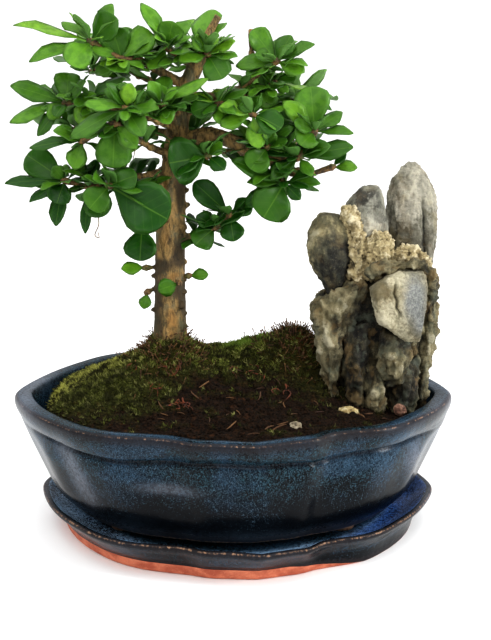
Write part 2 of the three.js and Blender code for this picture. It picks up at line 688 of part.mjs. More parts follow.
// A plastic mesh square that keeps the soil off a drain hole
function makeScreen(side, margin = 0) {
  const across = SCREEN_SIDE + 2 * margin;
  const depth = SCREEN_THICKNESS + 2 * margin;
  const level = POT_FLOOR + GAP + SCREEN_THICKNESS / 2;
  const middle = side * DRAIN_SPREAD + POT_SHIFT;
  const plate = block([across, across, depth], middle, 0, level);
  if (margin > 0) {
    return plate;
  }
  const windows = [];
  for (const row of [-1, 1]) {
    for (const column of [-1, 1]) {
      const size = [SCREEN_WINDOW, SCREEN_WINDOW, 2];
      windows.push(block(size, middle + column * SCREEN_PITCH, row * SCREEN_PITCH, level));
    }
  }
  return plate.subtract(joined(windows));
}

// Soil: fills the pot with a small gap, mounded on top, with plain holes for what stands in it
function makeSoil(holes) {
  const [wall, floor] = POT_INSIDE.slice(2, 4);
  const profile = [
    [0, POT_FLOOR + GAP, 0, 0],
    [floor[0] - WALL_GAP, POT_FLOOR + GAP, floor[2], floor[3]],
    [wall[0] - WALL_GAP, wall[1], wall[2], wall[3]],
    [SOIL_RINGS[0] + 4, SOIL_EDGE - 1.5, 1, SOIL_ENDS],
  ];
  for (const radius of SOIL_RINGS) {
    const share = radius / SOIL_RINGS[0];
    profile.push([radius, 0, share, SOIL_ENDS * share]);
  }
  const mound = (x, y, z) => (z === 0 ? moundHeight(x + POT_SHIFT, y) : z);
  return lobedLathe(profile, POT_SKEW, mound).translate([POT_SHIFT, 0, 0]).subtract(joined(holes));
}

// Tree
function makeTrunk() {
  const path = TRUNK.map(([x, y, z]) => [x, y, z]);
  const radii = TRUNK.map((knot) => knot[3]);
  const wood = [stem(path, radii, STEM_SIDES, TRUNK.length - 1, 0.22)];
  for (const limb of LIMBS) {
    const end = limb.radius * 0.62;
    wood.push(stem(limb.wood, [limb.radius, end], LIMB_SIDES, limb.wood.length - 1));
  }
  wood.push(stem(THICK_LIMB, [4.4, 3.6, 2.2], LIMB_SIDES, 4));
  for (const [start, end, radius] of STUBS) {
    wood.push(stem([start, end], [radius, radius * 0.8], LIMB_SIDES, 1));
  }
  return joined(wood);
}

// The bark-covered foot of the trunk, a little wider, as the hole that it stands in
function makeTrunkHole() {
  const path = TRUNK.map(([x, y, z]) => [x, y, z]);
  const radii = TRUNK.map((knot) => knot[3] + GAP + 0.2);
  const below = path[0].slice();
  below[2] -= GAP + 0.2;
  path[0] = below;
  return stem(path, radii, STEM_SIDES, TRUNK.length - 1, 0.22);
}

// The green end of a limb: its twig, starting just past the wood and thicker at each rosette
function makeTwig(limb) {
  const last = vector(limb.wood[limb.wood.length - 1]);
  const first = vector(limb.rosettes[0].at);
  const start = last.addScaledVector(first.sub(last).normalize(), GAP + 0.4);
  const path = [start.toArray()];
  const radii = [limb.radius * 0.5];
  limb.rosettes.forEach((rosette, place) => {
    if (place > 0) {
      const before = vector(limb.rosettes[place - 1].at);
      path.push(before.lerp(vector(rosette.at), 0.5).toArray());
      radii.push(0.9);
    }
    path.push(rosette.at);
    radii.push(CLUSTER_RADIUS);
  });
  const bud = vector(path.at(-1)).sub(vector(path.at(-2))).setLength(BUD_LENGTH);
  path.push(bud.add(vector(path.at(-1))).toArray());
  radii.push(BUD_RADIUS);
  return stem(path, radii, TWIG_SIDES, path.length - 1);
}

// A leaf that stands clear of every other node and crosses the leaves of its own spray as
// little as it can, bent up or down where it has to be
function clearBlade(rosette, [x, y, z, width, facing], own, others) {
  const centre = vector(rosette.at);
  const reach = new THREE.Vector3(x, y, z);
  const base = centre.clone().addScaledVector(reach.clone().normalize(), CLUSTER_RADIUS - STALK_SINK);
  const tip = centre.clone().add(reach);
  let best = null;
  let least = Infinity;
  for (const bend of BENDS) {
    const leaf = blade(base, tip, width * LEAF_FULLNESS, facing, bend);
    if (others.every((other) => other.minGap(leaf, GAP) >= GAP)) {
      const crossed = own.reduce((sum, other) => sum + other.intersect(leaf).volume(), 0);
      if (crossed < least - SMALL_CROSSING) {
        best = leaf;
        least = crossed;
      }
    }
  }
  return best;
}

function makeSprays(standing) {
  const twigs = LIMBS.map((limb) => makeTwig(limb));
  const sprays = [];
  LIMBS.forEach((limb, index) => {
    const others = [...standing, ...sprays, ...twigs.slice(index + 1)];
    const blades = [];
    limb.rosettes.forEach((rosette, place) => {
      const leaves = rosette.leaves ?? ruleLeaves(100 * index + 50 * place);
      for (const leaf of leaves) {
        const solid = clearBlade(rosette, leaf, blades, others);
        if (solid) {
          blades.push(solid);
        }
      }
    });
    sprays.push(joined([twigs[index], ...blades]));
  });
  return sprays;
}

// Stones: each is cut clear of those before it
function makeStones() {
  const solids = {};
  const grown = [];
  for (const [name, form] of Object.entries(STONES)) {
    const whole = stone(form);
    solids[name] = grown.length ? largest(whole.subtract(joined(grown))) : whole;
    grown.push(stone(form, STONE_GAP));
  }
  const crag = joined(CRAG.map((form) => stone(form)));
  solids.stone_crag = largest(crag.subtract(joined(grown)));
  const cragGrown = joined(CRAG.map((form) => stone(form, STONE_GAP)));
  const mortar = joined(MORTAR.map((form) => stone(form)));
  solids.mortar = largest(mortar.subtract(joined([...grown, cragGrown])));
  return { solids, foot: cragGrown };
}

const finishes = {
  glaze: { color: 0x16324a, roughness: 0.15, metalness: 0 },
  terracotta: { color: 0x9c4a2c, roughness: 0.8, metalness: 0 },
  soil: { color: 0x3a2a1c, roughness: 1, metalness: 0 },
  bark: { color: 0x7a6248, roughness: 0.9, metalness: 0 },
  leaf: { color: 0x2f7a22, roughness: 0.4, metalness: 0 },
  stone: { color: 0x7c7f7c, roughness: 0.85, metalness: 0 },
  mortar: { color: 0xa8946c, roughness: 0.95, metalness: 0 },
  screen: { color: 0x20241f, roughness: 0.6, metalness: 0 },
};
const materials = {};
for (const [name, finish] of Object.entries(finishes)) {
  materials[name] = new THREE.MeshStandardMaterial(finish);
}

function addPiece(parent, name, solid, finish) {
  const piece = new THREE.Mesh(toGeometry(solid), materials[finish]);
  piece.name = name;
  parent.add(piece);
}

const pottery = new THREE.Group();
addPiece(pottery, 'saucer', makeSaucer(), 'glaze');
addPiece(pottery, 'pot', makePot(), 'glaze');
addPiece(pottery, 'drain_screen_left', makeScreen(-1), 'screen');
addPiece(pottery, 'drain_screen_right', makeScreen(1), 'screen');

const landscape = new THREE.Group();
const { solids: stones, foot } = makeStones();
const sockets = [makeTrunkHole(), foot, makeScreen(-1, GAP), makeScreen(1, GAP)];
for (const form of Object.values(PEBBLES)) {
  sockets.push(stone(form, STONE_GAP));
}
addPiece(landscape, 'soil', makeSoil(sockets), 'soil');
for (const [name, solid] of Object.entries(stones)) {
  addPiece(landscape, name, solid, name === 'mortar' ? 'mortar' : 'stone');
}
for (const [name, form] of Object.entries(PEBBLES)) {
  addPiece(landscape, name, stone(form), 'stone');
}

const tree = new THREE.Group();
const trunk = makeTrunk();
addPiece(tree, 'trunk', trunk, 'bark');
const sprays = makeSprays([trunk, ...Object.values(stones)]);
LIMBS.forEach((limb, index) => addPiece(tree, `spray_${limb.name}`, sprays[index], 'leaf'));

const group = new THREE.Group();
group.add(pottery, landscape, tree);

export default group;
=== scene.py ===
"""A small fukien tea bonsai in a lobed glazed pot on its saucer, beside a group of stones.

Lengths in the tables are millimetres, as in the part's source; every object is built in metres.
"""

import math
from collections import namedtuple

import bmesh
import bpy
from mathutils import Matrix, Vector, noise
from mathutils.kdtree import KDTree


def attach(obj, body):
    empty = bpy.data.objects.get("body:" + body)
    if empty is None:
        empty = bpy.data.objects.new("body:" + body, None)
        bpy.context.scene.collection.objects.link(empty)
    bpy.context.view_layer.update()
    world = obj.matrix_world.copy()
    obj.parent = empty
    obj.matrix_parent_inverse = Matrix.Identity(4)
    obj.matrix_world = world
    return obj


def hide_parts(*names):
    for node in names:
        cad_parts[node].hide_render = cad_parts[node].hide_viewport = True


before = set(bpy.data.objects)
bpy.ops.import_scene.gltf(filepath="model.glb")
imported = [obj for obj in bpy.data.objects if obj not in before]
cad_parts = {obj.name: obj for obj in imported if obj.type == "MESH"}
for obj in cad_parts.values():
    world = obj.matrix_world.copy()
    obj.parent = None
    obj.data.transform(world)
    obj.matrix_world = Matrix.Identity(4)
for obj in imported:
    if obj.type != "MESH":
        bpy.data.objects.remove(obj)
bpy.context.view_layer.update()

bl_info = {
    "name": "Fukien tea bonsai",
    "version": (1, 0, 0),
    "blender": (4, 5, 0),
    "location": "View3D > Sidebar > Bonsai",
    "description": "Builds a potted fukien tea bonsai with its stones and a plain studio",
    "category": "Add Mesh",
}

MM = 0.001
TAU = 2 * math.pi
PER_SQUARE_MM = 1 / MM**2
GROUND = "root"

# The rim's plan over one quarter, from the pointed end (0 degrees) to the side point (90)
PLAN_ANGLES = (0, 8, 17, 32, 41, 49, 58, 65, 72, 80, 90)
PLAN_RADII = (110, 106, 102.5, 98, 96.5, 93.5, 88, 86, 88.5, 88.5, 91)
POT_HALF_LENGTH = 110
POT_HALF_WIDTH = 89
POT_SHIFT = -1.6
SAUCER_SCALE = (1.01, 1.025)

# Degrees by which the lobes are skewed, the saucer is turned, and the pointed ends are blunted
POT_SKEW = 7.5
SAUCER_SKEW = 10.5
SAUCER_TURN = -2
TIP_ROUNDING = 3.2

# The pot and the soil dip at the pointed ends, from this height up
END_DIP = 3
DIP_FROM = 50

# The soil: its height at the pot and how far its middle rises, its radius on top, and what its
# pointed ends reach further
SOIL_EDGE = 66
SOIL_CROWN = 11
SOIL_RIM = 92.5
SOIL_ENDS = 4

# Holes and feet of the pot: how far off its middle, radius, and from where to where they reach
DRAIN_SPREAD = 34
DRAIN_RADIUS = 6
DRAIN_SPAN = (8, 24)
FOOT_SPREAD = (52, 34)
FOOT_RADIUS = 7
FOOT_SPAN = (9.3, 14)
VESSEL_SEGMENTS = 320

# Profiles from the underside to the rim and back inside: half-length, height, lobing, what the
# pointed ends reach further, and how thin the glaze is (1 shows the brown body through it; the
# middle values in the groove under the lip paint it dark as painted shade)
POT_PROFILE = (
    (60, 13, 0.2, 2, 1),
    (76, 13, 0.3, 3, 1),
    (80, 14.2, 0.35, 3.3, 1),
    (84, 18, 0.5, 4, 0.6),
    (88.5, 22.5, 0.6, 4.7, 0.35),
    (91, 28, 0.65, 5.3, 0.15),
    (95, 38.5, 0.8, 6.4, 0),
    (98.6, 48, 0.9, 7.2, 0),
    (99.8, 52.5, 1, 7.8, 0.1),
    (99.7, 54.8, 1, 7.8, 0.5),
    (98.2, 56.3, 1, 7.6, 0.6),
    (100, 57.3, 1, 7, 0.5),
    (103.6, 58, 1, 5.4, 0.2),
    (105.8, 60.4, 1, 4.2, 0.15),
    (108.4, 63.6, 1, 2.8, 0.42),
    (109.9, 66.2, 1, 1.7, 0.6),
    (110, 68, 1, 1.5, 0.72),
    (109.4, 69.3, 1, 1.3, 1),
    (107.6, 70.2, 1, 1.2, 0.1),
    (104.5, 70.1, 1, 1.2, 0),
    (101.8, 69.4, 1, 1.4, 0),
    (99.8, 68, 1, 2.5, 0.1),
    (98, 64, 1, 4.5, 0.1),
    (86, 26, 0.6, 5.5, 0.5),
    (79, 19, 0.5, 4, 1),
    (60, 19, 0.3, 2, 1),
)
SAUCER_PROFILE = (
    (60, 0, 0.3, 0, 0.2),
    (86, 0, 0.5, 0, 0.2),
    (88, 0.5, 0.5, 0, 0.2),
    (88.9, 3, 0.5, 0, 0.2),
    (89.6, 5.5, 0.52, 0, 0.9),
    (90.4, 6.4, 0.62, 0, 0.6),
    (92, 7.6, 0.8, 0, 0.3),
    (94.6, 9.9, 0.9, 0, 0.35),
    (97.4, 12.5, 1, 0, 0.4),
    (99.4, 14.2, 1, 0, 0.5),
    (100.5, 15.6, 1, 0, 0.7),
    (100.2, 16.9, 1, 0, 1),
    (99, 17.4, 1, 0, 0.7),
    (97.2, 17, 1, 0, 0.1),
    (95, 15.4, 1, 0, 0),
    (91, 12.4, 1, 0, 0),
    (86, 10.3, 0.8, 0, 0),
    (79, 9, 0.6, 0, 0),
    (60, 8.9, 0.3, 0, 0),
)
# Height of the saucer's bare clay foot, where its glaze has run down over it from left to right,
# and from what height up its rows keep their place
FOOT_HEIGHT = 5.5
RUN_SPAN = (25, 60)
RUN_TOP = 9
# Where the flecks crowd on the saucer's inner slope, painted paler and bluer there as painted light
# in the shade of the pot: above a height, from a radius on
DISH_HEIGHT = 8.5
DISH_RADIUS = 74

# Recess under the pot's lip: its heights, the radius that closes it, and between which degrees
# off the pointed end it closes
RECESS_LOW, RECESS_HIGH = 52.5, 60.4
RECESS_CLOSED = 107.6
RECESS_CLOSES = (30, 18)
# Groove below the lip: its height, its reach, and how far it is draped over the lobes
GROOVE_HEIGHT, GROOVE_REACH = 56.5, 4
DRAPE = 2.6
# Swells (or dips) of the pot's wall: degrees off the pointed end, reach, and amount; then the
# heights between which they fade in and out
WALL_SWELLS = ((27, 6, 1.5), (14, 7, -1.1), (50, 6, 0.8), (67, 6, -0.8), (84, 6, 0.5))
SWELL_IN, SWELL_OUT = (22, 30), (54, 48)

# Painted highlights and reflections on the glaze, milky grey: x, z, reach each way, and strength
PAINTED_GLINTS = (
    (-79, 57, 5, 5, 0.45),
    (-75, 49, 4, 6, 0.5),
    (-71, 40, 4, 6, 0.5),
    (-67, 32, 4, 5, 0.3),
    (-30, 43, 13, 2.5, 0.45),
    (84, 47, 4.5, 8, 0.5),
    (107, 64, 4, 5, 0.35),
    (-97, 13, 5, 5, 0.4),
    (96, 14, 6, 5, 0.5),
    (-104, 69, 9, 4, 0.6),
    (98, 69.5, 9, 3, 0.35),
)

# Mound of the soil: x, y, height and radius of each rise or dip
MOUND = ((-33, 2, 13, 21), (8, 18, 9, 15), (32, 4, 22, 14), (-62, -6, 4, 20), (72, -14, -7, 24))

# Patches of the soil's surface: x, y, radius and strength
MOSS_PATCHES = (
    (-72, 10, 24, 1.0),
    (-52, 30, 22, 0.9),
    (-66, -20, 17, 0.6),
    (-44, -34, 13, 0.35),
    (8, 16, 18, 0.95),
    (-20, 22, 16, 0.6),
    (-33, -4, 9, 0.55),
    (-18, -4, 8, 0.45),
    (30, 2, 12, 0.45),
    (38, -18, 9, 0.25),
    (60, 30, 24, 0.7),
    (0, 55, 30, 0.8),
    (-102, -4, 8, -1.1),
)
STALK_PATCHES = (
    (31, 3, 9, 1.0),
    (20, 8, 6, 0.3),
    (-22, -3, 5, 0.8),
    (-35, -9, 8, 0.6),
    (-46, 0, 5, 0.5),
)

# What this script adds to the mound, a fibrous rise round the trunk's foot and lower ends:
# x, y, height and reach; and how far a lowered wall draws in for each millimetre
RISES = ((-33, 1, 11, 10.5), (-104, -7, -15, 18), (106, 4, -6, 12))
INWARD = 0.0028

# Rows of the soil's wall inside the pot: radius, height, lobing, and what the ends reach further
SOIL_WALL = (
    (78.2, 19.3, 0.5, 4),
    (85.2, 26, 0.6, 5.5),
    (91, 45, 0.8, 5),
    (96.5, 64.5, 1, SOIL_ENDS),
)
SOIL_SEGMENTS, SOIL_RINGS = 288, 92
SOIL_TOP_FROM = 60

# Oval of the soil's top where crumbs and needles lie: half its length and width, in metres
BARE_HALVES = (0.098, 0.082)

# Patches of painted light and shade on the rocks, kept as their lit field, with a painted shadow
# under the crag's block: x, z, reach each way, and strength
ROCK_LIGHT_AND_SHADE = {
    "stone_left": ((44, 152, 9, 6, 0.7), (36, 142, 4, 8, 0.4), (50, 133, 9, 13, -0.8)),
    "stone_middle": ((59.5, 165, 2.2, 2.6, -1.0), (66, 150, 6, 8, 0.3), (73, 158, 2, 9, 0.4)),
    "stone_tall": ((76, 171, 3, 4, -0.4), (84, 138, 13, 14, -0.6), (87, 168, 8, 12, 0.35)),
    "stone_front": ((67, 124, 5, 4, -0.7), (72, 113, 4, 5, 0.3), (87, 114, 7, 14, -0.7)),
    "stone_crag": (
        (50, 117, 6, 5, 0.8),
        (43, 100, 4, 9, 0.6),
        (42, 78, 3.5, 13, 0.6),
        (74, 87, 6, 7, 0.55),
        (66, 72, 3, 5, 0.4),
        (94, 92, 3, 13, 0.6),
        (61, 108, 7, 8, -0.9),
        (60, 90, 6, 6, -0.5),
        (56, 74, 5, 8, -0.7),
        (82, 75, 5, 9, -0.6),
        (76, 99, 11, 4, -0.9),
        (80, 134, 16, 4, 0.35),
    ),
}

# Colours of the rocks: dark, middle and pale
ROCK_COLOURS = {
    "tall_stone": ((76, 73, 60), (118, 115, 101), (158, 154, 139)),
    "blue_grey_stone": ((90, 89, 80), (134, 133, 120), (174, 170, 154)),
    "dark_stone": ((42, 41, 33), (82, 80, 62), (158, 148, 112)),
    "pale_stone": ((92, 84, 62), (146, 141, 116), (196, 188, 160)),
    "craggy_stone": ((27, 25, 18), (70, 65, 44), (134, 126, 96)),
    "crumbly_mortar": ((116, 102, 70), (186, 170, 128), (222, 210, 176)),
    "pebble_tan_stone": ((132, 112, 70), (188, 168, 118), (214, 200, 156)),
    "pebble_red_stone": ((70, 46, 36), (120, 86, 70), (160, 124, 102)),
    "pebble_pale_stone": ((120, 108, 86), (168, 156, 130), (198, 188, 164)),
}

# Blue-grey faces of the rocks, as the patches are given
COOL_PATCHES = {"stone_front": ((83.5, 120, 5.5, 11, 1.7), (87, 107, 3, 6, 0.9))}
# Fuller lower left corner of the front stone
CORNER = ((69.3, -22.5, 123), (70, -22.8, 114), (71.6, -23, 110), (77.5, -22.5, 108.6))
CORNER_RADII = (4.2, 4.8, 4.8, 4)
# Shell-like rim that arches over the front stone
LEDGE = (
    (63, -17, 129),
    (67, -20, 133.5),
    (73, -19, 133),
    (79, -20, 135),
    (86, -21, 135.5),
    (90.5, -20, 132),
    (93.3, -17, 126),
    (94, -14, 117),
    (93.5, -12, 107),
)
LEDGE_RADII = (2.2, 3.1, 2.2, 1.9, 2.2, 2.0, 2.6, 3, 2.4)

# Paler and darker patches of the bark: x, z, reach each way, and strength
BARK_PATCHES = (
    (-37, 131, 7, 4, -1.0),
    (-28, 138, 3.5, 8, -0.8),
    (-26, 114, 3, 15, -1.0),
    (-40, 117, 4, 12, -0.8),
    (-38, 100, 4, 9, -0.6),
    (-32, 119, 5, 3.5, -0.5),
    (-31, 103, 4, 8, 1.0),
    (-29.5, 127, 5, 3.5, 0.9),
    (-34, 146, 4, 8, 0.5),
    (-35, 166, 4, 9, 0.4),
    (-27, 168, 3, 14, -0.7),
)

# Trunk: x, y, z and radius from the stump in the soil to the sawn top
TRUNK = (
    (-33, 3, 50, 7),
    (-33.5, 3, 70, 10),
    (-33.5, 3, 84, 12),
    (-33, 2, 92, 9.2),
    (-33, 2, 104, 7.9),
    (-32.5, 2, 128, 7.5),
    (-32, 2, 146, 7.2),
    (-31, 2, 163, 6.6),
    (-29.5, 2, 182, 5.9),
    (-27, 2, 203, 5),
    (-23, 2, 217, 4.2),
    (-17.5, 2, 229, 3.4),
    (-13.5, 2, 239, 2.1),
    (-8, 2, 249, 1.9),
)
# The thick right limb, and lumpy swellings of the limb and the trunk: x, y, z and radius
THICK_LIMB = ((-27, 2, 190), (-12, 0, 194), (3, -3, 189), (17, -4, 182))
THICK_LIMB_RADII = (4.4, 3.6, 2.2)
LIMB_KNOBS = (
    (-12, 0, 194, 4.2), (3, -3, 189, 3.8), (10, -4, 185.5, 3.3), (-20, 1, 192, 4.6),
)
TRUNK_KNOBS = (
    (-25.5, 0, 150, 2.2), (-25.6, 0, 156, 1.7), (-38, 0, 137, 2), (-25.5, -1, 133, 1.8),
    (-39, 0, 120, 1.7), (-27, -4, 112, 2.4), (-25.3, 0, 124, 1.2), (-25.1, -1, 118, 1.4),
    (-25.2, 0, 107, 1.3), (-25.2, -1, 101, 1.4), (-40.7, 0, 126, 1.4), (-40.8, -1, 109, 1.3),
    (-37, -3, 171, 2.2), (-33, -5, 152, 1.6), (-26, -2, 177, 2.4), (-30, -3, 196, 3),
    (-22, 0, 211, 3), (-17, 1, 228, 2.6), (7.5, 5, 232, 1.9), (7.2, 5, 240, 1.7),
)
# Cut stubs: where they start and end, and radius
STUBS = (
    ((-26, 2, 143), (-20, 0, 145), 3),
    ((8, 5, 222), (7, 5, 243), 1.5),
    ((27, -2, 176), (31, -2, 178), 2),
    ((-25, 2, 160), (-22.6, 1, 161), 1.3),
    ((-25, 2, 167), (-22.8, 1, 168), 1.2),
)
LIMB_TAPER = 0.62

# Limbs: name, radius, path of the wood, and rosettes. A rosette has its place and its leaves:
# tip from the rosette as x, y, z, then width and facing. None has its leaves placed by rule.
LIMB_ROWS = (
    ("upper_left", 2.6, ((-23, 2, 216), (-38, 1, 225), (-46, -1, 229)), (
        ((-53, -4, 229), (
            (-4, 0, 14, 15, 70), (14, 5, 12, 14, 60), (-13, 3, -7, 11, 50), (-2, -12, -6, 12, 60),
            (6, 14, 2, 12, 10),
        )),
        ((-67, -5, 237), (
            (-35, -4, 7, 9, 35), (-29, -8, 3, 9, 50), (-14, 4, 9, 8, 30), (10, 4, 17, 9, 60),
            (-8, -11, -11, 14, 70), (13, -4, 10, 15, 70), (-3, 15, 3, 12, 15),
        )),
    )),
    ("left", 2.8, ((-27, 2, 199), (-42, 2, 203), (-58, 0, 207)), (
        ((-69, -3, 211), (
            (-5, -10, -3, 8, 60), (16, -7, 13, 10, 50), (8, 13, -3, 12, 15), (-4, -6, -12, 10, 60),
        )),
        ((-80, -3, 209), (
            (-25, -4, 8, 11, 60), (1, 6, 14, 13, 70), (-7, -8, -7, 9, 70), (11, -8, 10, 9, 45),
            (-26, -5, -9, 9, 45), (-13, -6, -15, 8, 45), (-10, 14, 2, 12, 15),
        )),
    )),
    ("left_near", 2.2, ((-28, 0, 197), (-36, -12, 201), (-42, -20, 204)), (
        ((-49, -26, 207), (
            (-25, -6, -13, 11, 40), (15, -5, 0, 10, 45), (3, -6, 11, 9, 60), (-7, 6, 10, 12, 40),
            (-18, -8, 2, 9, 40), (8, -8, -12, 11, 60),
        )),
    )),
    ("left_front", 2.2, ((-29, 0, 184), (-40, -9, 189), (-48, -14, 194)), (
        ((-55, -20, 200), (
            (-1, -4, -20, 17, 88), (-15, -6, -5, 10, 50), (-11, 7, 4, 10, 30), (8, -4, -13, 10, 60),
        )),
        ((-71, -14, 192), (
            (-4, -3, -13, 11, 80), (-24, -5, -3, 8, 40), (2, 10, 4, 11, 30), (-12, -8, 5, 9, 50),
        )),
    )),
    ("lower_left", 2.6, ((-30, 2, 177), (-46, -2, 174), (-60, -5, 171)), (
        ((-70, -7, 170), (
            (8, -6, -13, 14, 80), (-2, -3, -22, 6, 60), (6, 12, 2, 12, 15), (-4, 11, -8, 10, 30),
        )),
        ((-81, -8, 173), (
            (-18, 2, 12, 15, 75), (-5, -3, 7, 8, 70), (-28, -3, -1, 8, 50), (-18, -5, -6, 7, 45),
            (-3, -7, -10, 12, 75), (-17, -3, -14, 9, 50), (-8, 14, 2, 12, 15),
        )),
    )),
    ("low_front", 2.2, ((-31, 0, 166), (-42, -10, 168), (-50, -17, 170)), (
        ((-58, -23, 172), (
            (27, -4, -15, 25, 86), (-9, -4, -10, 14, 80), (13, -2, 5, 12, 60), (-6, -10, 4, 11, 50),
            (-10, 8, -6, 11, 30),
        )),
    )),
    ("crown_left", 2, ((-19, 2, 224), (-26, 1, 230)), (
        ((-32, 0, 234), (
            (-19, -2, 14, 9, 40), (3, -4, 12, 13, 70), (11, 3, 12, 10, 40), (-8, -9, -10, 10, 60),
            (-14, 6, 2, 11, 30), (-2, 14, 4, 12, 10),
        )),
    )),
    ("crown", 2, ((-17.5, 2, 229), (-15, -3, 231)), (
        ((-13, -7, 231), (
            (13, -3, 6, 8, 40), (14, -4, -1, 7, 40), (7, -6, -11, 14, 70), (-13, -6, -3, 11, 50),
            (-5, -4, 9, 10, 60),
        )),
    )),
    ("front", 1.8, ((-27, 0, 204), (-31, -9, 207)), (
        ((-34, -17, 208), (
            (22, -5, 12, 9, 45), (-5, -5, 11, 9, 60), (8, -7, 7, 8, 40), (-13, -7, 2, 10, 50),
            (4, -6, -8, 10, 70),
        )),
    )),
    ("right_front", 2, ((-25, 2, 204), (-14, -4, 207)), (
        ((-8, -8, 209), (
            (-12, -7, -4, 12, 55), (14, -5, 6, 9, 40), (4, 9, 6, 11, 20), (5, -8, -9, 12, 65),
        )),
        ((8, -14, 204), (
            (-2, -4, 8, 13, 60), (-15, -5, -5, 10, 50), (13, -6, -6, 14, 55), (4, -8, -14, 11, 65),
            (-16, -4, 3, 10, 45),
        )),
    )),
    ("middle_front", 1.8, ((-27, 0, 187), (-20, -8, 186)), (
        ((-13, -14, 185), (
            (-18, -5, -3, 23, 84), (7, -3, 6, 10, 50), (8, -6, -6, 9, 60),
        )),
    )),
    ("right_inner", 1.8, ((3, -3, 189), (9, -7, 189)), (
        ((15, -11, 189), (
            (-8, -5, -10, 13, 80), (9, -6, 3, 9, 50), (1, -4, 9, 9, 60),
        )),
    )),
    ("right_hanging", 2, ((17, -4, 182), (21, -6, 177)), (
        ((23, -9, 172), (
            (-10, -5, -16, 20, 88), (-25, -3, 11, 11, 60), (17, -2, 0, 7, 50), (6, -2, -9, 7, 80),
            (-19, 2, -11, 10, 70), (3, 12, -7, 12, 20),
        )),
    )),
    ("right_middle", 2, ((14, -4, 184), (24, -7, 183)), (
        ((30, -9, 184), (
            (14, -7, 6, 10, 60), (25, -3, 5, 11, 55), (-16, -7, -3, 9, 60), (-4, 12, 2, 12, 30),
        )),
        ((37, -9, 196), (
            (-2, 4, 21, 17, 85), (-15, -2, 14, 10, 70), (-10, -7, 5, 9, 70), (13, 2, 9, 9, 50),
            (-7, -8, -6, 13, 60), (9, 12, 2, 12, 15),
        )),
    )),
    ("right_tip", 2, ((16, -3, 183), (27, -2, 176), (37, -2, 176)), (
        ((46, -2, 179), (
            (12, -2, 0, 7, 60), (8, 1, 5, 5, 40),
        )),
    )),
    ("upper_right", 2.6, ((-23, 3, 212), (-6, 5, 212), (4, 5, 217), (10, 4, 223)), (
        ((19, 1, 228), (
            (-14, 2, 12, 12, 60), (7, 0, 12, 11, 60), (18, -2, 8, 8, 45), (14, -4, -2, 11, 60),
            (-19, -3, -2, 9, 60), (-10, -7, 3, 9, 50), (4, 13, 4, 12, 15), (-8, 12, 0, 12, 15),
        )),
    )),
    ("right_high", 1.8, ((0, 5, 213), (8, 8, 211), (13, 7, 214)), (
        ((18, 5, 218), (
            (-1, -9, -3, 11, 80), (11, -2, 3, 7, 50), (-5, -6, -12, 11, 80), (7, -4, -4, 6, 60),
            (-4, 12, -3, 12, 20),
        )),
    )),
    ("low_right", 2.6, ((-26, 2, 144), (-18, 0, 146)), (
        ((-10, -2, 150), (
            (-10, -5, -8, 13, 75), (-9, -3, 6, 10, 60), (1, 9, -2, 10, 30),
        )),
        ((-3, -3, 156), (
            (-17, -1, 16, 12, 75), (2, -5, -12, 12, 80), (11, 2, 5, 10, 70), (3, 11, 0, 12, 20),
        )),
    )),
    ("bud_upper", 1.6, ((-32, 0, 148), (-40, -3, 149)), (
        ((-45, -6, 152), ((-1, -5, -17, 16, 86),)),
    )),
    ("bud_left", 1.4, ((-33, 1, 128), (-41, 0, 130)), (
        ((-44, -1, 130), ((-12, -3, 0, 8, 60),)),
    )),
    ("bud_low", 1.4, ((-33, 1, 118), (-41, 0, 119)), (
        ((-43.5, -1, 118), ((-2, -3, -8, 7, 85),)),
    )),
    ("bud_front", 1.4, ((-30, 1, 123), (-28, -7, 124)), (
        ((-27.5, -9.5, 124), ((-10, -3, -3, 10, 85),)),
    )),
    ("bud_right", 1.4, ((-32, 1, 125), (-26, 0, 125.5)), (
        ((-23.5, -1, 126), ((10, -2, 1, 7, 60),)),
    )),
    ("back_upper_left", 2.4, ((-24, 4, 212), (-38, 16, 218), (-48, 24, 222)), (
        ((-57, 31, 226), None),
        ((-72, 32, 224), None),
    )),
    ("back_left", 2.4, ((-28, 4, 194), (-44, 16, 196), (-56, 23, 198)), (
        ((-66, 28, 201), None),
        ((-80, 24, 196), None),
    )),
    ("back_low_left", 2.2, ((-30, 5, 172), (-42, 16, 170), (-50, 22, 170)), (
        ((-58, 28, 172), None),
    )),
    ("back_top", 2.2, ((-20, 4, 222), (-19, 16, 228), (-18, 24, 231)), (
        ((-17, 31, 233), None),
        ((-22, 44, 226), None),
    )),
    ("back_low", 2.4, ((-29, 5, 184), (-26, 20, 188), (-24, 30, 190)), (
        ((-22, 39, 193), None),
        ((-30, 51, 196), None),
    )),
    ("back_right", 2.4, ((-23, 4, 208), (-6, 16, 208), (6, 22, 209)), (
        ((15, 27, 212), None),
        ((30, 27, 210), None),
    )),
    ("back_low_right", 2.2, ((-27, 4, 190), (-10, 16, 186), (4, 22, 184)), (
        ((14, 27, 184), None),
        ((28, 22, 189), None),
    )),
)
Limb = namedtuple("Limb", "name radius wood rosettes")
LIMBS = [Limb(*row) for row in LIMB_ROWS]
Leaf = namedtuple("Leaf", "base along side upper length width seed")

# Leaves of a rosette that has none given: their number, turn from one to the next, length, and
# width as a part of it
RULE_COUNT = 5
RULE_TURN = 137.5
RULE_LENGTH = (16, 24)
RULE_WIDTH = 0.6

# The blades in the part's source: thickness, where they start in their rosette, the bends that it
# tries for each, and how near a corner of the node is to count as a blade's tip
LEAF_THICKNESS = 0.7
CLUSTER_RADIUS = 1.8
STALK_SINK = 1.4
BENDS = (0, 12, -12, 24, -24, 38, -38)
MATCH = 0.06
# Width from which a blade is a broad one
BROAD_FROM = 12

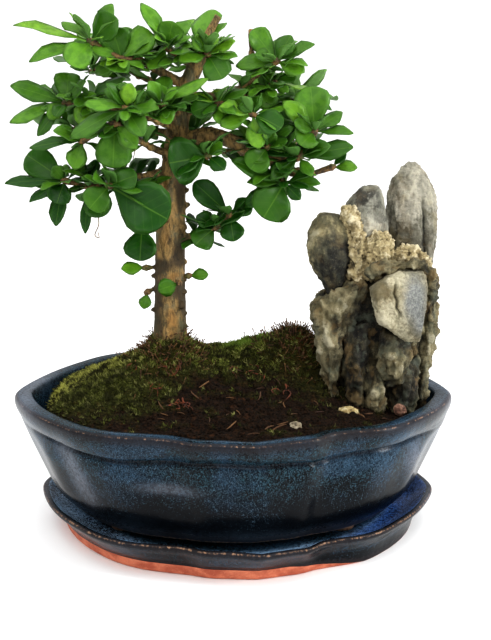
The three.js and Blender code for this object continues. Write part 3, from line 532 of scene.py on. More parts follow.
# Rows of a finer blade: place along its midrib, then along and across at its edge
BROAD_ROWS = (
    (0, 0, 0.05),
    (0.1, 0.1, 0.12),
    (0.22, 0.21, 0.38),
    (0.38, 0.37, 0.72),
    (0.55, 0.54, 0.94),
    (0.72, 0.7, 1),
    (0.87, 0.84, 0.88),
    (0.96, 0.92, 0.62),
    (1, 0.975, 0.34),
)
BROAD_COLUMNS = (-1, -0.72, -0.36, 0, 0.36, 0.72, 1)
SLIM_ROWS = (
    (0, 0, 0.07),
    (0.14, 0.14, 0.17),
    (0.33, 0.32, 0.6),
    (0.55, 0.54, 0.92),
    (0.76, 0.73, 0.88),
    (0.92, 0.88, 0.56),
    (1, 0.975, 0.2),
)
SLIM_COLUMNS = (-1, -0.5, 0, 0.5, 1)

# Leaves that each rosette has besides, and tufts of leaves on the limb behind it, at shares of its
# length; then their width as a part of their length, and which way they face
INNER_COUNT = 8
INNER_LENGTH = (10, 19)
TUFT_COUNT = 6
TUFT_LENGTH = (11, 19)
TUFT_SHARES = (0.42, 0.86)
INNER_SHAPE = (0.36, 0.52)
INNER_FACING = (0, 52)

# Wiry tendrils below the canopy
TENDRILS = (
    (
        (-67, -8, 168), (-66, -11, 160), (-65, -12, 153), (-67, -12, 147.5), (-65, -13, 146.5),
        (-65.5, -12, 149),
    ),
    ((-48, -20, 197), (-46.5, -22, 193), (-46, -22, 188), (-47, -22, 184)),
)

# Tangles of rootlets on the soil: x, y, reach and number
ROOTLETS = (
    (-40, -33, 6, 9),
    (-27, -46, 6, 9),
    (-33, -20, 9, 8),
    (-52, -14, 6, 4),
    (4, -16, 9, 5),
    (24, -30, 7, 4),
)

# Cells that the rocks and the trunk are remeshed with
STONE_CELL = 0.6
CRAG_CELL = 0.68
MORTAR_CELL = 0.5
PEBBLE_CELL = 0.3
TRUNK_CELL = 0.6

# The stage, in metres: lights by name with place and size, what they face, the floor, the share
# of the overhead light that comes from the sides, and the camera of the photograph
LIGHTS = {
    "key": ((-0.5, -0.6, 1.3), (1.6, 1.6)),
    "side": ((0.95, -0.35, 0.45), (0.12, 0.6)),
    "front": ((0.1, -1.15, 0.8), (1.0, 0.25)),
}
LIGHTS_FACE = (0, 0, 0.1)
FLOOR_RADIUS, FLOOR_SIDES = 9, 96
SIDE_SHARE = 0.25
CAMERA_PLACE = (0.0046, -0.5, 0.2165)
CAMERA_PITCH = 0.2222
CAMERA_LENS = 58.08
CAMERA_CLIP = (0.01, 60)


# Reckoning shared with the part's source


def draw(number):
    """A fixed draw from 0 to 1 for each whole number."""
    wave = math.sin(number * 12.9898 + 4.1414) * 43758.5453
    return wave - math.floor(wave)


def mix(low, high, share):
    return low + (high - low) * share


def clamp(value, low=0.0, high=1.0):
    return min(high, max(low, value))


def ramp(value, start, end):
    """From 0 at the start to 1 at the end, and held outside them."""
    return clamp((value - start) / (end - start))


def hill(offset, reach):
    """A smooth hill: 1 where the offset is 0, and little beyond the reach."""
    return math.exp(-((offset / reach) ** 2))


def between(values, knot):
    """The value at a place between the given ones, which count from 0."""
    before = min(int(knot), len(values) - 2)
    return mix(values[before], values[before + 1], knot - before)


def plan_curve(angle):
    """Rim radius at an angle of the first quarter, on the cubic that the source uses."""
    last = len(PLAN_ANGLES) - 2
    i = max(k for k in range(last + 1) if PLAN_ANGLES[k] <= angle)
    start, end = PLAN_ANGLES[i], PLAN_ANGLES[i + 1]
    half = (end - start) / 2
    before, after = PLAN_RADII[i + 1], PLAN_RADII[i]
    pull, push = -0.5, -0.5
    if i > 0:
        before = PLAN_RADII[i - 1]
        pull = half / (start - PLAN_ANGLES[i - 1])
    if i < last:
        after = PLAN_RADII[i + 2]
        push = half / (PLAN_ANGLES[i + 2] - end)
    p = (angle - start) / (end - start)
    return (
        before * (-pull * p**3 + 2 * pull * p**2 - pull * p)
        + PLAN_RADII[i] * ((1 + pull) * p**3 + (-1.5 - 2 * pull) * p**2 + (-0.5 + pull) * p + 1)
        + PLAN_RADII[i + 1] * ((-1 - push) * p**3 + (1.5 + push) * p**2 + 0.5 * p)
        + after * (push * p**3 - push * p**2)
    )


def plan_point(radius, angle, lobing, ends, skew):
    """Place in plan of a ring's point, between a plain oval and the full lobes."""
    turned = angle - math.radians(skew) * math.sin(angle) ** 2
    folded = math.degrees(math.atan2(abs(math.sin(turned)), abs(math.cos(turned))))
    folded = min(math.hypot(folded, TIP_ROUNDING), 90)
    across = math.hypot(POT_HALF_WIDTH * math.cos(angle), POT_HALF_LENGTH * math.sin(angle))
    oval = POT_HALF_LENGTH * POT_HALF_WIDTH / across
    reach = radius * mix(oval, plan_curve(folded), lobing) / POT_HALF_LENGTH
    return reach * math.cos(angle) * (1 + ends / max(radius, 1)), reach * math.sin(angle)


def dipped(x, z):
    """Height of a point of the upper part, which dips at the pointed ends."""
    return z - END_DIP * ramp(z, DIP_FROM, SOIL_EDGE) * abs(x / POT_HALF_LENGTH) ** 5


def mound_height(x, y):
    """Height of the soil at a place."""
    out = (x / POT_HALF_LENGTH) ** 2 + (y / POT_HALF_WIDTH) ** 2
    height = SOIL_EDGE + SOIL_CROWN * max(0, 0.8 - out)
    for middle_x, middle_y, rise, radius in MOUND:
        height += rise * math.exp(-((x - middle_x) ** 2 + (y - middle_y) ** 2) / (2 * radius**2))
    return dipped(x - POT_SHIFT, height)


def ground_height(x, y):
    """The mound with the rises and dips that only this script has."""
    return mound_height(x, y) + risen(x, y)


def risen(x, y):
    return sum(h * math.exp(-((x - rx) ** 2 + (y - ry) ** 2) / r**2) for rx, ry, h, r in RISES)


def patch_strength(patches, x, y):
    """Strength at a place of round patches given by x, y, radius and strength."""
    return sum(
        strength * math.exp(-((x - px) ** 2 + (y - py) ** 2) / (2 * radius * radius))
        for px, py, radius, strength in patches
    )


def blotted(patches, x, z):
    """Strength at a place of patches given by x, z, reach each way, and strength."""
    return sum(
        strength * math.exp(-(((x - px) / wide) ** 2) - ((z - pz) / high) ** 2)
        for px, pz, wide, high, strength in patches
    )


def rule_leaves(seed):
    """Leaves that a rosette has when none are given: turned round by a fixed angle each."""
    leaves = []
    for k in range(RULE_COUNT):
        turn = math.radians(RULE_TURN * k + 360 * draw(seed))
        lift = math.radians(55 - 16 * k + 14 * draw(seed + 10 + k))
        length = mix(*RULE_LENGTH, draw(seed + 20 + k))
        level = length * math.cos(lift)
        width = length * RULE_WIDTH * (0.85 + 0.3 * draw(seed + 30 + k))
        facing = -20 + 40 * draw(seed + 40 + k)
        tip = (level * math.cos(turn), level * math.sin(turn), length * math.sin(lift))
        leaves.append((*tip, width, facing))
    return leaves


def smooth_path(points, steps):
    """Points on a centripetal curve through the given ones."""
    knots = [Vector(p) for p in points]
    knots = [2 * knots[0] - knots[1], *knots, 2 * knots[-1] - knots[-2]]
    path = []
    for i in range(1, len(knots) - 2):
        a, b, c, d = knots[i - 1 : i + 3]
        t1 = max((b - a).length, 1e-6) ** 0.5
        t2 = t1 + max((c - b).length, 1e-6) ** 0.5
        t3 = t2 + max((d - c).length, 1e-6) ** 0.5
        for k in range(steps):
            t = mix(t1, t2, k / steps)
            ab = a + (b - a) * (t / t1)
            bc = b + (c - b) * ((t - t1) / (t2 - t1))
            cd = c + (d - c) * ((t - t2) / (t3 - t2))
            ac = ab + (bc - ab) * (t / t2)
            bd = bc + (cd - bc) * ((t - t1) / (t3 - t1))
            path.append(ac + (bd - ac) * ((t - t1) / (t2 - t1)))
    return [*path, knots[-2]]


# Building nodes


def fill(tree, node, values):
    """Sets sockets of a node; a value that comes from another node is linked."""
    for key, value in values.items():
        if isinstance(value, bpy.types.NodeSocket):
            tree.links.new(value, node.inputs[key])
        else:
            node.inputs[key].default_value = value
    return node


def add(tree, kind, values=None, **settings):
    """A new node: settings are its own properties, values go to its sockets."""
    node = tree.nodes.new(kind)
    for name, value in settings.items():
        setattr(node, name, value)
    return fill(tree, node, values or {})


def calc(tree, operation, *terms):
    """A number worked out from up to three others."""
    return add(tree, "ShaderNodeMath", dict(enumerate(terms)), operation=operation).outputs[0]


def times(tree, first, second):
    return calc(tree, "MULTIPLY", first, second)


def swayed(tree, value, wave, amount):
    """The value moved by how far a wave from 0 to 1 is off its middle."""
    return calc(tree, "MULTIPLY_ADD", calc(tree, "SUBTRACT", wave, 0.5), amount, value)


def vector_calc(tree, operation, *terms, scale=None):
    values = dict(enumerate(terms))
    if scale is not None:
        values["Scale"] = scale
    return add(tree, "ShaderNodeVectorMath", values, operation=operation).outputs[0]


def parts_of(tree, vector):
    """The three numbers of a vector."""
    return add(tree, "ShaderNodeSeparateXYZ", {0: vector}).outputs


def spread(tree, value, low, high, to_low=0.0, to_high=1.0):
    """The value's range brought to another, and held inside it."""
    values = {0: value, 1: low, 2: high, 3: to_low, 4: to_high}
    return add(tree, "ShaderNodeMapRange", values, interpolation_type="SMOOTHSTEP").outputs[0]


def colour(*sample):
    """A linear colour from red, green and blue as a screen shows them, from 0 to 255."""
    linear = []
    for part in sample:
        share = part / 255
        linear.append(share / 12.92 if share <= 0.04045 else ((share + 0.055) / 1.055) ** 2.4)
    return (*linear, 1.0)


def tint(tree, share, first, second):
    """One colour laid over another by a share."""
    values = {0: share, 6: first, 7: second}
    return add(tree, "ShaderNodeMix", values, data_type="RGBA").outputs[2]


def layers(tree, base, *rows):
    """Colours laid over a base in turn: a row has the value that brings its colour in, the
    bounds of that value as spread() takes them, and the colour."""
    for value, bounds, laid in rows:
        base = tint(tree, spread(tree, value, *bounds), base, laid)
    return base


def places(tree, stretch=(1, 1, 1)):
    """The object's own coordinates in millimetres, stretched."""
    source = add(tree, "ShaderNodeTexCoord").outputs["Object"]
    scale = [share / MM for share in stretch]
    return add(tree, "ShaderNodeMapping", {0: source, 3: scale}).outputs[0]


def clouds(tree, where, scale, detail=3.0, rough=0.55, warp=0.0):
    values = {"Vector": where, "Scale": scale, "Detail": detail}
    values |= {"Roughness": rough, "Distortion": warp}
    return add(tree, "ShaderNodeTexNoise", values).outputs[0]


def cells(tree, where, scale):
    return add(tree, "ShaderNodeTexVoronoi", {"Vector": where, "Scale": scale}).outputs["Distance"]


def attribute(tree, name, output="Fac"):
    """A field that the mesh keeps under a name."""
    node = add(tree, "ShaderNodeAttribute", attribute_name=name, attribute_type="GEOMETRY")
    return node.outputs[output]


def new_material(name, preview):
    """A material with its shader, and the tree to build in."""
    material = bpy.data.materials.new(name)
    material.use_nodes = True
    material.diffuse_color = preview
    tree = material.node_tree
    return material, tree, tree.nodes["Principled BSDF"]


def dress(tree, shader, base, roughness, relief, specular=0.5):
    """Gives the shader its colour, roughness, specular level and relief, which has its height,
    its strength and its distance in millimetres."""
    height, strength, distance = relief
    values = {"Height": height, "Strength": strength, "Distance": distance * MM}
    bump = add(tree, "ShaderNodeBump", values).outputs[0]
    values = {"Base Color": base, "Roughness": roughness, "Specular IOR Level": specular}
    fill(tree, shader, values | {"Normal": bump})


# Finishes


def shared(name, make, settings):
    """A finish that several pieces have, made once."""
    return bpy.data.materials.get(name) or make(settings)


def flecked_glaze(settings):
    """Deep navy glaze crowded with pale blue flecks, fewer where it pools, brown-black and tan
    where it is thin, with painted shade in the groove under the lip, painted highlights and
    reflections in milky grey, and flecks painted paler and bluer on the saucer's shaded inner
    slope.
    """
    material, tree, shader = new_material("flecked_glaze", settings.glaze_fleck[:])
    where = places(tree, (1, 1, 0.7))
    flat = places(tree)
    fine = clouds(tree, where, 3.1, 2, 0.65)
    coarse = clouds(tree, where, 0.7, 3, 0.6, 0.4)
    drift = clouds(tree, flat, 0.045, 3)
    pooled = attribute(tree, "pooled")
    crowd = swayed(tree, swayed(tree, fine, coarse, 0.42), drift, 0.36)
    crowd = calc(tree, "SUBTRACT", crowd, times(tree, calc(tree, "MAXIMUM", pooled, -0.1), 0.22))
    deep = tint(tree, spread(tree, drift, 0.4, 0.62), settings.glaze_deep, settings.glaze_body)
    deep = tint(tree, spread(tree, pooled, 0.2, 0.8), deep, settings.glaze_deep)
    # The pale flecks, painted paler still on the saucer's inner slope as painted light
    pale = layers(
        tree,
        colour(40, 74, 86),
        (drift, (0.42, 0.56), settings.glaze_fleck),
        (fine, (0.6, 0.74), colour(98, 122, 138)),
        (pooled, (0, -0.3), colour(164, 200, 236)),
    )
    # Flecks of the saucer's inner slope painted cobalt toward the right, partly their own blue and
    # partly painted light in the pot's shade
    right = spread(tree, parts_of(tree, flat)[0], 30, 75)
    dish_cobalt_and_light = times(tree, spread(tree, pooled, 0, -0.3), right)
    pale = tint(tree, dish_cobalt_and_light, pale, colour(84, 132, 214))
    # Thin glaze turns brown-black, then tan at the very edge; the brown-black in the groove under
    # the lip is painted shade
    thin = swayed(tree, attribute(tree, "thin"), coarse, 0.5)
    base = layers(
        tree,
        deep,
        (crowd, (0.48, 0.6), pale),
        (thin, (0.4, 0.72, 0, 0.8), colour(36, 32, 34)),
        (thin, (0.88, 1.02, 0, 0.9), colour(150, 118, 94)),
    )
    # Painted highlights and reflections of the surroundings, milky grey
    glint_share = times(tree, attribute(tree, "veil"), spread(tree, coarse, 0.3, 0.6, 0.5, 1))
    base = tint(tree, glint_share, base, colour(120, 124, 134))
    roughness = spread(tree, thin, 0.4, 1, 0.24, 0.4)
    waves = clouds(tree, flat, 0.22, 3)
    dress(tree, shader, base, roughness, (waves, 0.26, 0.6), specular=0.14)
    return material


def fired_clay(settings):
    """The bare foot of the saucer: orange-red clay with faint runs and pale dust."""
    material, tree, shader = new_material("fired_clay", settings.clay[:])
    runs = clouds(tree, places(tree, (1, 1, 1.6)), 0.14, 4, 0.6)
    dust = clouds(tree, places(tree), 1.6, 3)
    base = layers(
        tree,
        colour(166, 80, 54),
        (runs, (0.35, 0.68), settings.clay),
        (dust, (0.55, 0.75, 0, 0.4), colour(226, 164, 132)),
    )
    dress(tree, shader, base, 0.75, (dust, 0.4, 0.25))
    return material


def damp_soil(settings):
    """Dark crumbly soil, greener where moss grows and rusty where roots show."""
    material, tree, shader = new_material("damp_soil", settings.soil[:])
    where = places(tree)
    grain = clouds(tree, where, 0.9, 5, 0.7)
    base = layers(
        tree,
        colour(11, 8, 5),
        (grain, (0.36, 0.68), settings.soil),
        (clouds(tree, where, 0.3, 4), (0.56, 0.72, 0, 0.6), colour(70, 44, 26)),
    )
    green = times(tree, attribute(tree, "moss"), spread(tree, grain, 0.3, 0.6))
    base = tint(tree, calc(tree, "MINIMUM", green, 0.85), base, colour(66, 72, 22))
    rust = times(tree, attribute(tree, "stalks"), spread(tree, grain, 0.4, 0.6))
    base = tint(tree, calc(tree, "MINIMUM", rust, 0.8), base, colour(72, 34, 18))
    height = calc(tree, "ADD", grain, cells(tree, where, 0.55))
    dress(tree, shader, base, 0.92, (height, 0.9, 1.2), specular=0.12)
    return material


def moss_finish(settings):
    """Yellow-green moss with brown spots, duller to the right and the front, pale and lush at
    the left, with a fresh clump behind the trunk."""
    material, tree, shader = new_material("moss", settings.moss[:])
    where = places(tree)
    tone, spots = attribute(tree, "tone"), clouds(tree, where, 0.16, 4, 0.7)
    along, deep, _ = parts_of(tree, where)
    base = layers(
        tree,
        tint(tree, tone, colour(38, 46, 14), settings.moss),
        (tone, (0.7, 1, 0, 0.8), colour(206, 204, 132)),
        (spots, (0.42, 0.6, 0.92, 0), colour(34, 30, 14)),
        (along, (14, 30, 0, 0.5), colour(40, 40, 14)),
        (deep, (-2, -24, 0, 0.55), colour(44, 46, 18)),
    )
    lush = times(tree, spread(tree, along, -44, -64), spread(tree, deep, -18, 2))
    lush = times(tree, lush, spread(tree, spots, 0.44, 0.58, 0, 0.8))
    base = tint(tree, lush, base, colour(186, 186, 98))
    clump = times(tree, spread(tree, along, -12, -2), spread(tree, along, 22, 12))
    clump = times(tree, clump, times(tree, spread(tree, deep, 2, 10), spread(tree, deep, 44, 24)))
    clump = times(tree, clump, spread(tree, spots, 0.36, 0.54, 0, 0.7))
    base = tint(tree, clump, base, colour(118, 150, 56))
    dress(tree, shader, base, 0.8, (clouds(tree, where, 3, 2), 0.3, 0.1), specular=0.2)
    return material


def dry_litter():
    """Brown stalks and needles, darker in patches."""
    material, tree, shader = new_material("dry_litter", colour(140, 100, 58))
    where = places(tree)
    base = tint(tree, attribute(tree, "tone"), colour(54, 30, 18), colour(122, 88, 52))
    patches = clouds(tree, where, 0.8, 3)
    base = tint(tree, spread(tree, patches, 0.4, 0.7, 0, 0.5), base, colour(58, 32, 20))
    dress(tree, shader, base, 0.8, (clouds(tree, where, 2, 2), 0.3, 0.1))
    return material


def rusty_root():
    material, tree, shader = new_material("rusty_root", colour(140, 62, 36))
    patches = clouds(tree, places(tree), 0.7, 3)
    base = tint(tree, spread(tree, patches, 0.35, 0.65), colour(50, 24, 14), colour(122, 58, 26))
    dress(tree, shader, base, 0.75, (patches, 0.4, 0.2))
    return material


def cracked_bark(settings):
    """Tan bark in long thin plates, darker in the cracks and mossy low down."""
    material, tree, shader = new_material("cracked_bark", settings.bark[:])
    flat = places(tree)
    plates = clouds(tree, places(tree, (1, 1, 0.3)), 0.5, 6, 0.68, 0.5)
    patches = clouds(tree, flat, 0.12, 4, 0.6)
    speckle = clouds(tree, flat, 1.6, 3)
    base = layers(
        tree,
        settings.bark_dark,
        (plates, (0.38, 0.62), settings.bark),
        (patches, (0.48, 0.66, 0, 0.75), colour(96, 96, 74)),
        (speckle, (0.56, 0.74, 0, 0.5), colour(188, 162, 106)),
    )
    shade, broken = attribute(tree, "shade"), spread(tree, plates, 0.3, 0.5, 0.4, 1)
    ochre = times(tree, spread(tree, shade, 0.05, 0.8, 0, 0.6), broken)
    base = tint(tree, ochre, base, colour(172, 126, 64))
    dim = times(tree, spread(tree, shade, -0.05, -0.7, 0, 0.9), broken)
    base = tint(tree, dim, base, colour(52, 42, 26))
    hollow = spread(tree, attribute(tree, "relief"), 0.42, 0.1, 0, 0.85)
    base = tint(tree, hollow, base, colour(34, 27, 16))
    low = spread(tree, parts_of(tree, flat)[2], 112, 94)
    foot = times(tree, low, spread(tree, patches, 0.36, 0.56))
    base = tint(tree, times(tree, foot, 0.8), base, colour(52, 50, 18))
    height = calc(tree, "ADD", plates, times(tree, speckle, 0.4))
    dress(tree, shader, base, 0.82, (height, 0.8, 0.6))
    return material


def twig_bark(settings):
    """Brown bark of the twigs, green in places."""
    material, tree, shader = new_material("twig_bark", settings.bark[:])
    flat = places(tree)
    patches = clouds(tree, flat, 0.5, 4, 0.65)
    base = layers(
        tree,
        colour(58, 44, 26),
        (patches, (0.38, 0.64), colour(128, 98, 56)),
        (clouds(tree, flat, 0.16, 2), (0.5, 0.62, 0, 0.5), colour(82, 98, 42)),
    )
    dress(tree, shader, base, 0.7, (patches, 0.7, 0.4))
    return material


def leaf_finish(settings):
    """Glossy blade: a pale midrib and side veins above, paler and duller below; painted light on
    the high leaves, painted shade on the low ones and at each blade's base.
    """
    material, tree, shader = new_material("leaf", settings.leaf[:])
    along, across, _ = parts_of(tree, attribute(tree, "blade", "Vector"))
    across = calc(tree, "ABSOLUTE", across)
    tone, below = attribute(tree, "tone"), attribute(tree, "under")
    blotch = clouds(tree, places(tree), 0.25, 3)
    # The tone holds each leaf's own share, with painted light on the high leaves and painted shade
    # on the low ones
    grown = tint(tree, tone, settings.leaf_dark, settings.leaf)
    fresh = tint(tree, tone, colour(100, 152, 32), colour(140, 184, 48))
    # Darker towards each blade's base, as painted shade deep in the rosette
    upper = layers(
        tree,
        tint(tree, attribute(tree, "young"), grown, fresh),
        (blotch, (0.42, 0.64, 0, 0.4), colour(34, 78, 14)),
        (along, (0.55, 0, 0, 0.45), settings.leaf_dark),
    )
    slant = calc(tree, "SUBTRACT", along, times(tree, across, 0.28))
    wave = calc(tree, "ABSOLUTE", calc(tree, "SINE", times(tree, slant, 22)))
    vein = spread(tree, wave, 0.2, 0.02, 0, 0.07)
    off_middle = calc(tree, "ADD", across, times(tree, along, 0.02))
    midrib = spread(tree, off_middle, 0.06, 0.025, 0, 0.24)
    upper = tint(tree, calc(tree, "MAXIMUM", vein, midrib), upper, colour(112, 152, 54))
    base = tint(tree, below, upper, tint(tree, tone, colour(72, 112, 50), colour(96, 134, 70)))
    roughness = spread(tree, below, 0.3, 0.7, 0.36, 0.6)
    height = calc(tree, "SUBTRACT", times(tree, blotch, 0.6), calc(tree, "ADD", vein, midrib))
    dress(tree, shader, base, roughness, (height, 0.35, 0.35), specular=0.2)
    fill(tree, shader, {"Subsurface Weight": 0.12, "Subsurface Radius": (0.0006, 0.001, 0.0003)})
    return material


def weathered_stone(name, banding=(1, 1, 0.5), lichen=0.3, ochre=0.15):
    """Rock that is dark in its hollows and pale on its worn edges, stained here and there; its lit
    field paints light and shade on it, and deepens the hollows and brightens the edges with painted
    shade and painted highlight.
    """
    dark, middle, pale = (colour(*sample) for sample in ROCK_COLOURS[name])
    material, tree, shader = new_material(name, middle)
    flat = places(tree)
    strata = clouds(tree, places(tree, banding), 0.16, 6, 0.65, 0.7)
    grit = clouds(tree, flat, 1.1, 5, 0.7)
    mood = clouds(tree, flat, 0.11, 4, 0.65)
    lit = attribute(tree, "lit")
    # The edge is the relief swayed by the lit field: its pale worn edges are partly painted
    # highlight, its dark hollows partly painted shade
    edge = swayed(tree, swayed(tree, attribute(tree, "relief"), lit, 0.5), grit, 0.55)
    base = layers(
        tree,
        dark,
        (strata, (0.36, 0.6), middle),
        (edge, (0.5, 0.85, 0, 0.85), pale),
        (lit, (0.5, 1, 0, 0.3), pale),
        (lit, (0.5, 0, 0, 0.75), dark),
        (edge, (0.42, 0.14, 0, 0.92), [*(0.3 * part for part in dark[:3]), 1]),
        (grit, (0.56, 0.74, 0, 0.4), pale),
        (grit, (0.44, 0.3, 0, 0.45), dark),
        (mood, (0.53, 0.63, 0, ochre), colour(122, 98, 58)),
        (mood, (0.47, 0.36, 0, ochre), colour(90, 98, 84)),
        (edge, (0.8, 1, 0, 0.4), colour(196, 190, 166)),
    )
    slate = tint(tree, spread(tree, grit, 0.34, 0.66), colour(100, 104, 105), colour(146, 148, 143))
    base = tint(tree, times(tree, attribute(tree, "cool"), 0.9), base, slate)
    stain = spread(tree, clouds(tree, flat, 0.07, 4, 0.6), 0.5, 0.66, 0, lichen)
    base = tint(tree, stain, base, colour(138, 124, 84))
    height = calc(tree, "ADD", times(tree, strata, 1.6), times(tree, grit, 0.7))
    dress(tree, shader, base, 0.86, (height, 0.9, 1.1))
    return material


def woven_plastic():
    material, tree, shader = new_material("woven_plastic", colour(36, 40, 36))
    mesh = clouds(tree, places(tree), 1.4, 2)
    base = tint(tree, mesh, colour(22, 26, 22), colour(52, 58, 50))
    dress(tree, shader, base, 0.55, (mesh, 0.3, 0.2))
    return material


# Building meshes


def placed(name, data):
    """A new object of the scene with a mesh, light or camera."""
    item = bpy.data.objects.new(name, data)
    bpy.context.scene.collection.objects.link(item)
    return item


def new_object(name, points, faces, smooth=True):
    """A mesh object from points in millimetres."""
    mesh = bpy.data.meshes.new(name)
    mesh.from_pydata([(x * MM, y * MM, z * MM) for x, y, z in points], [], faces)
    mesh.polygons.foreach_set("use_smooth", [smooth] * len(mesh.polygons))
    return placed(name, mesh)


def store(mesh, name, values, kind="FLOAT"):
    """Keeps a value for each point under a name."""
    field = mesh.attributes.new(name, kind, "POINT")
    if kind == "FLOAT_VECTOR":
        field.data.foreach_set("vector", [part for value in values for part in value])
    else:
        field.data.foreach_set("value", values)


def stored(mesh, name):
    """The values that a mesh keeps under a name."""
    values = [0.0] * len(mesh.vertices)
    mesh.attributes[name].data.foreach_get("value", values)
    return values


def point_search(mesh):
    """A search for the point of a mesh that is nearest to a place."""
    search = KDTree(len(mesh.vertices))
    for vertex in mesh.vertices:
        search.insert(vertex.co, vertex.index)
    search.balance()
    return search


def baked(piece):
    """The piece with its modifiers worked into a plain mesh."""
    bpy.context.view_layer.update()
    graph = bpy.context.evaluated_depsgraph_get()
    mesh = bpy.data.meshes.new_from_object(piece.evaluated_get(graph))
    name, old = piece.name, piece.data
    piece.modifiers.clear()
    piece.data = mesh
    bpy.data.meshes.remove(old)
    mesh.name = name
    return piece


def finish_piece(piece, slot, *nodes, material=None):
    """Fixes a finished piece to the frame in place of its nodes."""
    if material is not None:
        piece.data.materials.clear()
        piece.data.materials.append(material)
    if not piece.data.polygons:
        raise RuntimeError(f"{piece.name} came out empty")
    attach(piece, GROUND)
    if nodes:
        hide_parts(*nodes)
    return piece


def merged_copy(name, node):
    """A copy of a node of the frame with its loose triangles merged."""
    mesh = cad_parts[node].data.copy()
    mesh.name = name
    shape = bmesh.new()
    shape.from_mesh(mesh)
    bmesh.ops.remove_doubles(shape, verts=shape.verts, dist=1e-6)
    shape.to_mesh(mesh)
    shape.free()
    mesh.materials.clear()
    return placed(name, mesh)


def tube(path, radii, sides):
    """Points and faces of a closed round tube along a path, with its radii spread evenly."""
    points, faces = [], []
    last = len(path) - 1
    level = None
    for i, middle in enumerate(path):
        ahead = (path[min(i + 1, last)] - path[max(i - 1, 0)]).normalized()
        if level is None:
            level = ahead.orthogonal()
        level = (level - ahead * level.dot(ahead)).normalized()
        depth = ahead.cross(level)
        radius = between(radii, i / last * (len(radii) - 1))
        for k in range(sides):
            angle = TAU * k / sides
            points.append(middle + (level * math.cos(angle) + depth * math.sin(angle)) * radius)
    for i in range(last):
        for k in range(sides):
            a, b = i * sides + k, i * sides + (k + 1) % sides
            faces.append((a, b, b + sides, a + sides))
    faces.append(tuple(reversed(range(sides))))
    faces.append(tuple(range(last * sides, last * sides + sides)))
    return points, faces


def joined(parts):
    """Points and faces of several closed shapes as one."""
    points, faces = [], []
    for more_points, more_faces in parts:
        start = len(points)
        points += more_points
        faces += [tuple(start + i for i in face) for face in more_faces]
    return points, faces


def ring_faces(rows, segments):
    """Faces over rows of points, closed by the first point below and the last one above."""
    faces = []
    top = 1 + rows * segments
    for k in range(segments):
        following = (k + 1) % segments
        faces.append((0, 1 + following, 1 + k))
        for i in range(rows - 1):
            a, b = 1 + i * segments + k, 1 + i * segments + following
            faces.append((a, b, b + segments, a + segments))
        faces.append((top, top - segments + k, top - segments + following))
    return faces


def rough_ball(subdivisions, radius, roughness, grain, place):
    """Points and faces of a ball at a place, made uneven."""
    shape = bmesh.new()
    bmesh.ops.create_icosphere(shape, subdivisions=subdivisions, radius=radius)
    points = []
    for vertex in shape.verts:
        bulge = 1 + roughness * noise.noise(vertex.co * grain + place)
        points.append(vertex.co * bulge + place)
    faces = [tuple(v.index for v in face.verts) for face in shape.faces]
    shape.free()
    return points, faces


def remesh(piece, size_mm):
    modifier = piece.modifiers.new("even_mesh", "REMESH")
    modifier.mode = "VOXEL"
    modifier.voxel_size = size_mm * MM
    modifier.use_smooth_shade = True
    return baked(piece)


def relax(piece, rounds, factor=0.5):
    modifier = piece.modifiers.new("relax", "SMOOTH")
    modifier.factor = factor
    modifier.iterations = rounds
    return baked(piece)


def displace(piece, relief):
    """Moves each point along its normal by relief(place) in millimetres, and keeps the relief
    from 0 (deep) to 1 (proud) for the material."""
    mesh = piece.data
    moves = []
    for vertex, normal in zip(mesh.vertices, mesh.vertex_normals):
        moves.append((relief(vertex.co / MM), normal.vector.copy()))
    low = min(move for move, _ in moves)
    high = max(move for move, _ in moves)
    store(mesh, "relief", [(move - low) / max(high - low, 1e-6) for move, _ in moves])
    for vertex, (move, normal) in zip(mesh.vertices, moves):
        vertex.co += normal * (move * MM)
    mesh.update()
    return piece


# Pottery


def rounded(profile, rounds=2):
    """The profile with its corners cut, and the pole rows kept."""
    rows = [tuple(map(float, row)) for row in profile]
    for _ in range(rounds):
        cut = [rows[0]]
        for a, b in zip(rows, rows[1:]):
            cut.append(tuple(mix(p, q, 0.25) for p, q in zip(a, b)))
            cut.append(tuple(mix(p, q, 0.75) for p, q in zip(a, b)))
        rows = [*cut, rows[-1]]
    return rows


def lobed_vessel(name, profile, place, pool_and_light):
    """A closed lobed body of revolution: place(row, angle) gives each point, and the last argument
    gives for each row how much the glaze pools there, below nothing where its flecks are painted
    paler as painted light."""
    rows = rounded(profile)
    points = [(0.0, 0.0, rows[0][1])]
    for row in rows:
        points += [place(row, TAU * k / VESSEL_SEGMENTS) for k in range(VESSEL_SEGMENTS)]
    points.append((0.0, 0.0, rows[-1][1]))
    ringed = [rows[0], *[row for row in rows for _ in range(VESSEL_SEGMENTS)], rows[-1]]
    piece = new_object(name, points, ring_faces(len(rows), VESSEL_SEGMENTS))
    store(piece.data, "thin", [row[4] for row in ringed])
    store(piece.data, "pooled", [pool_and_light(row) for row in ringed])
    return piece


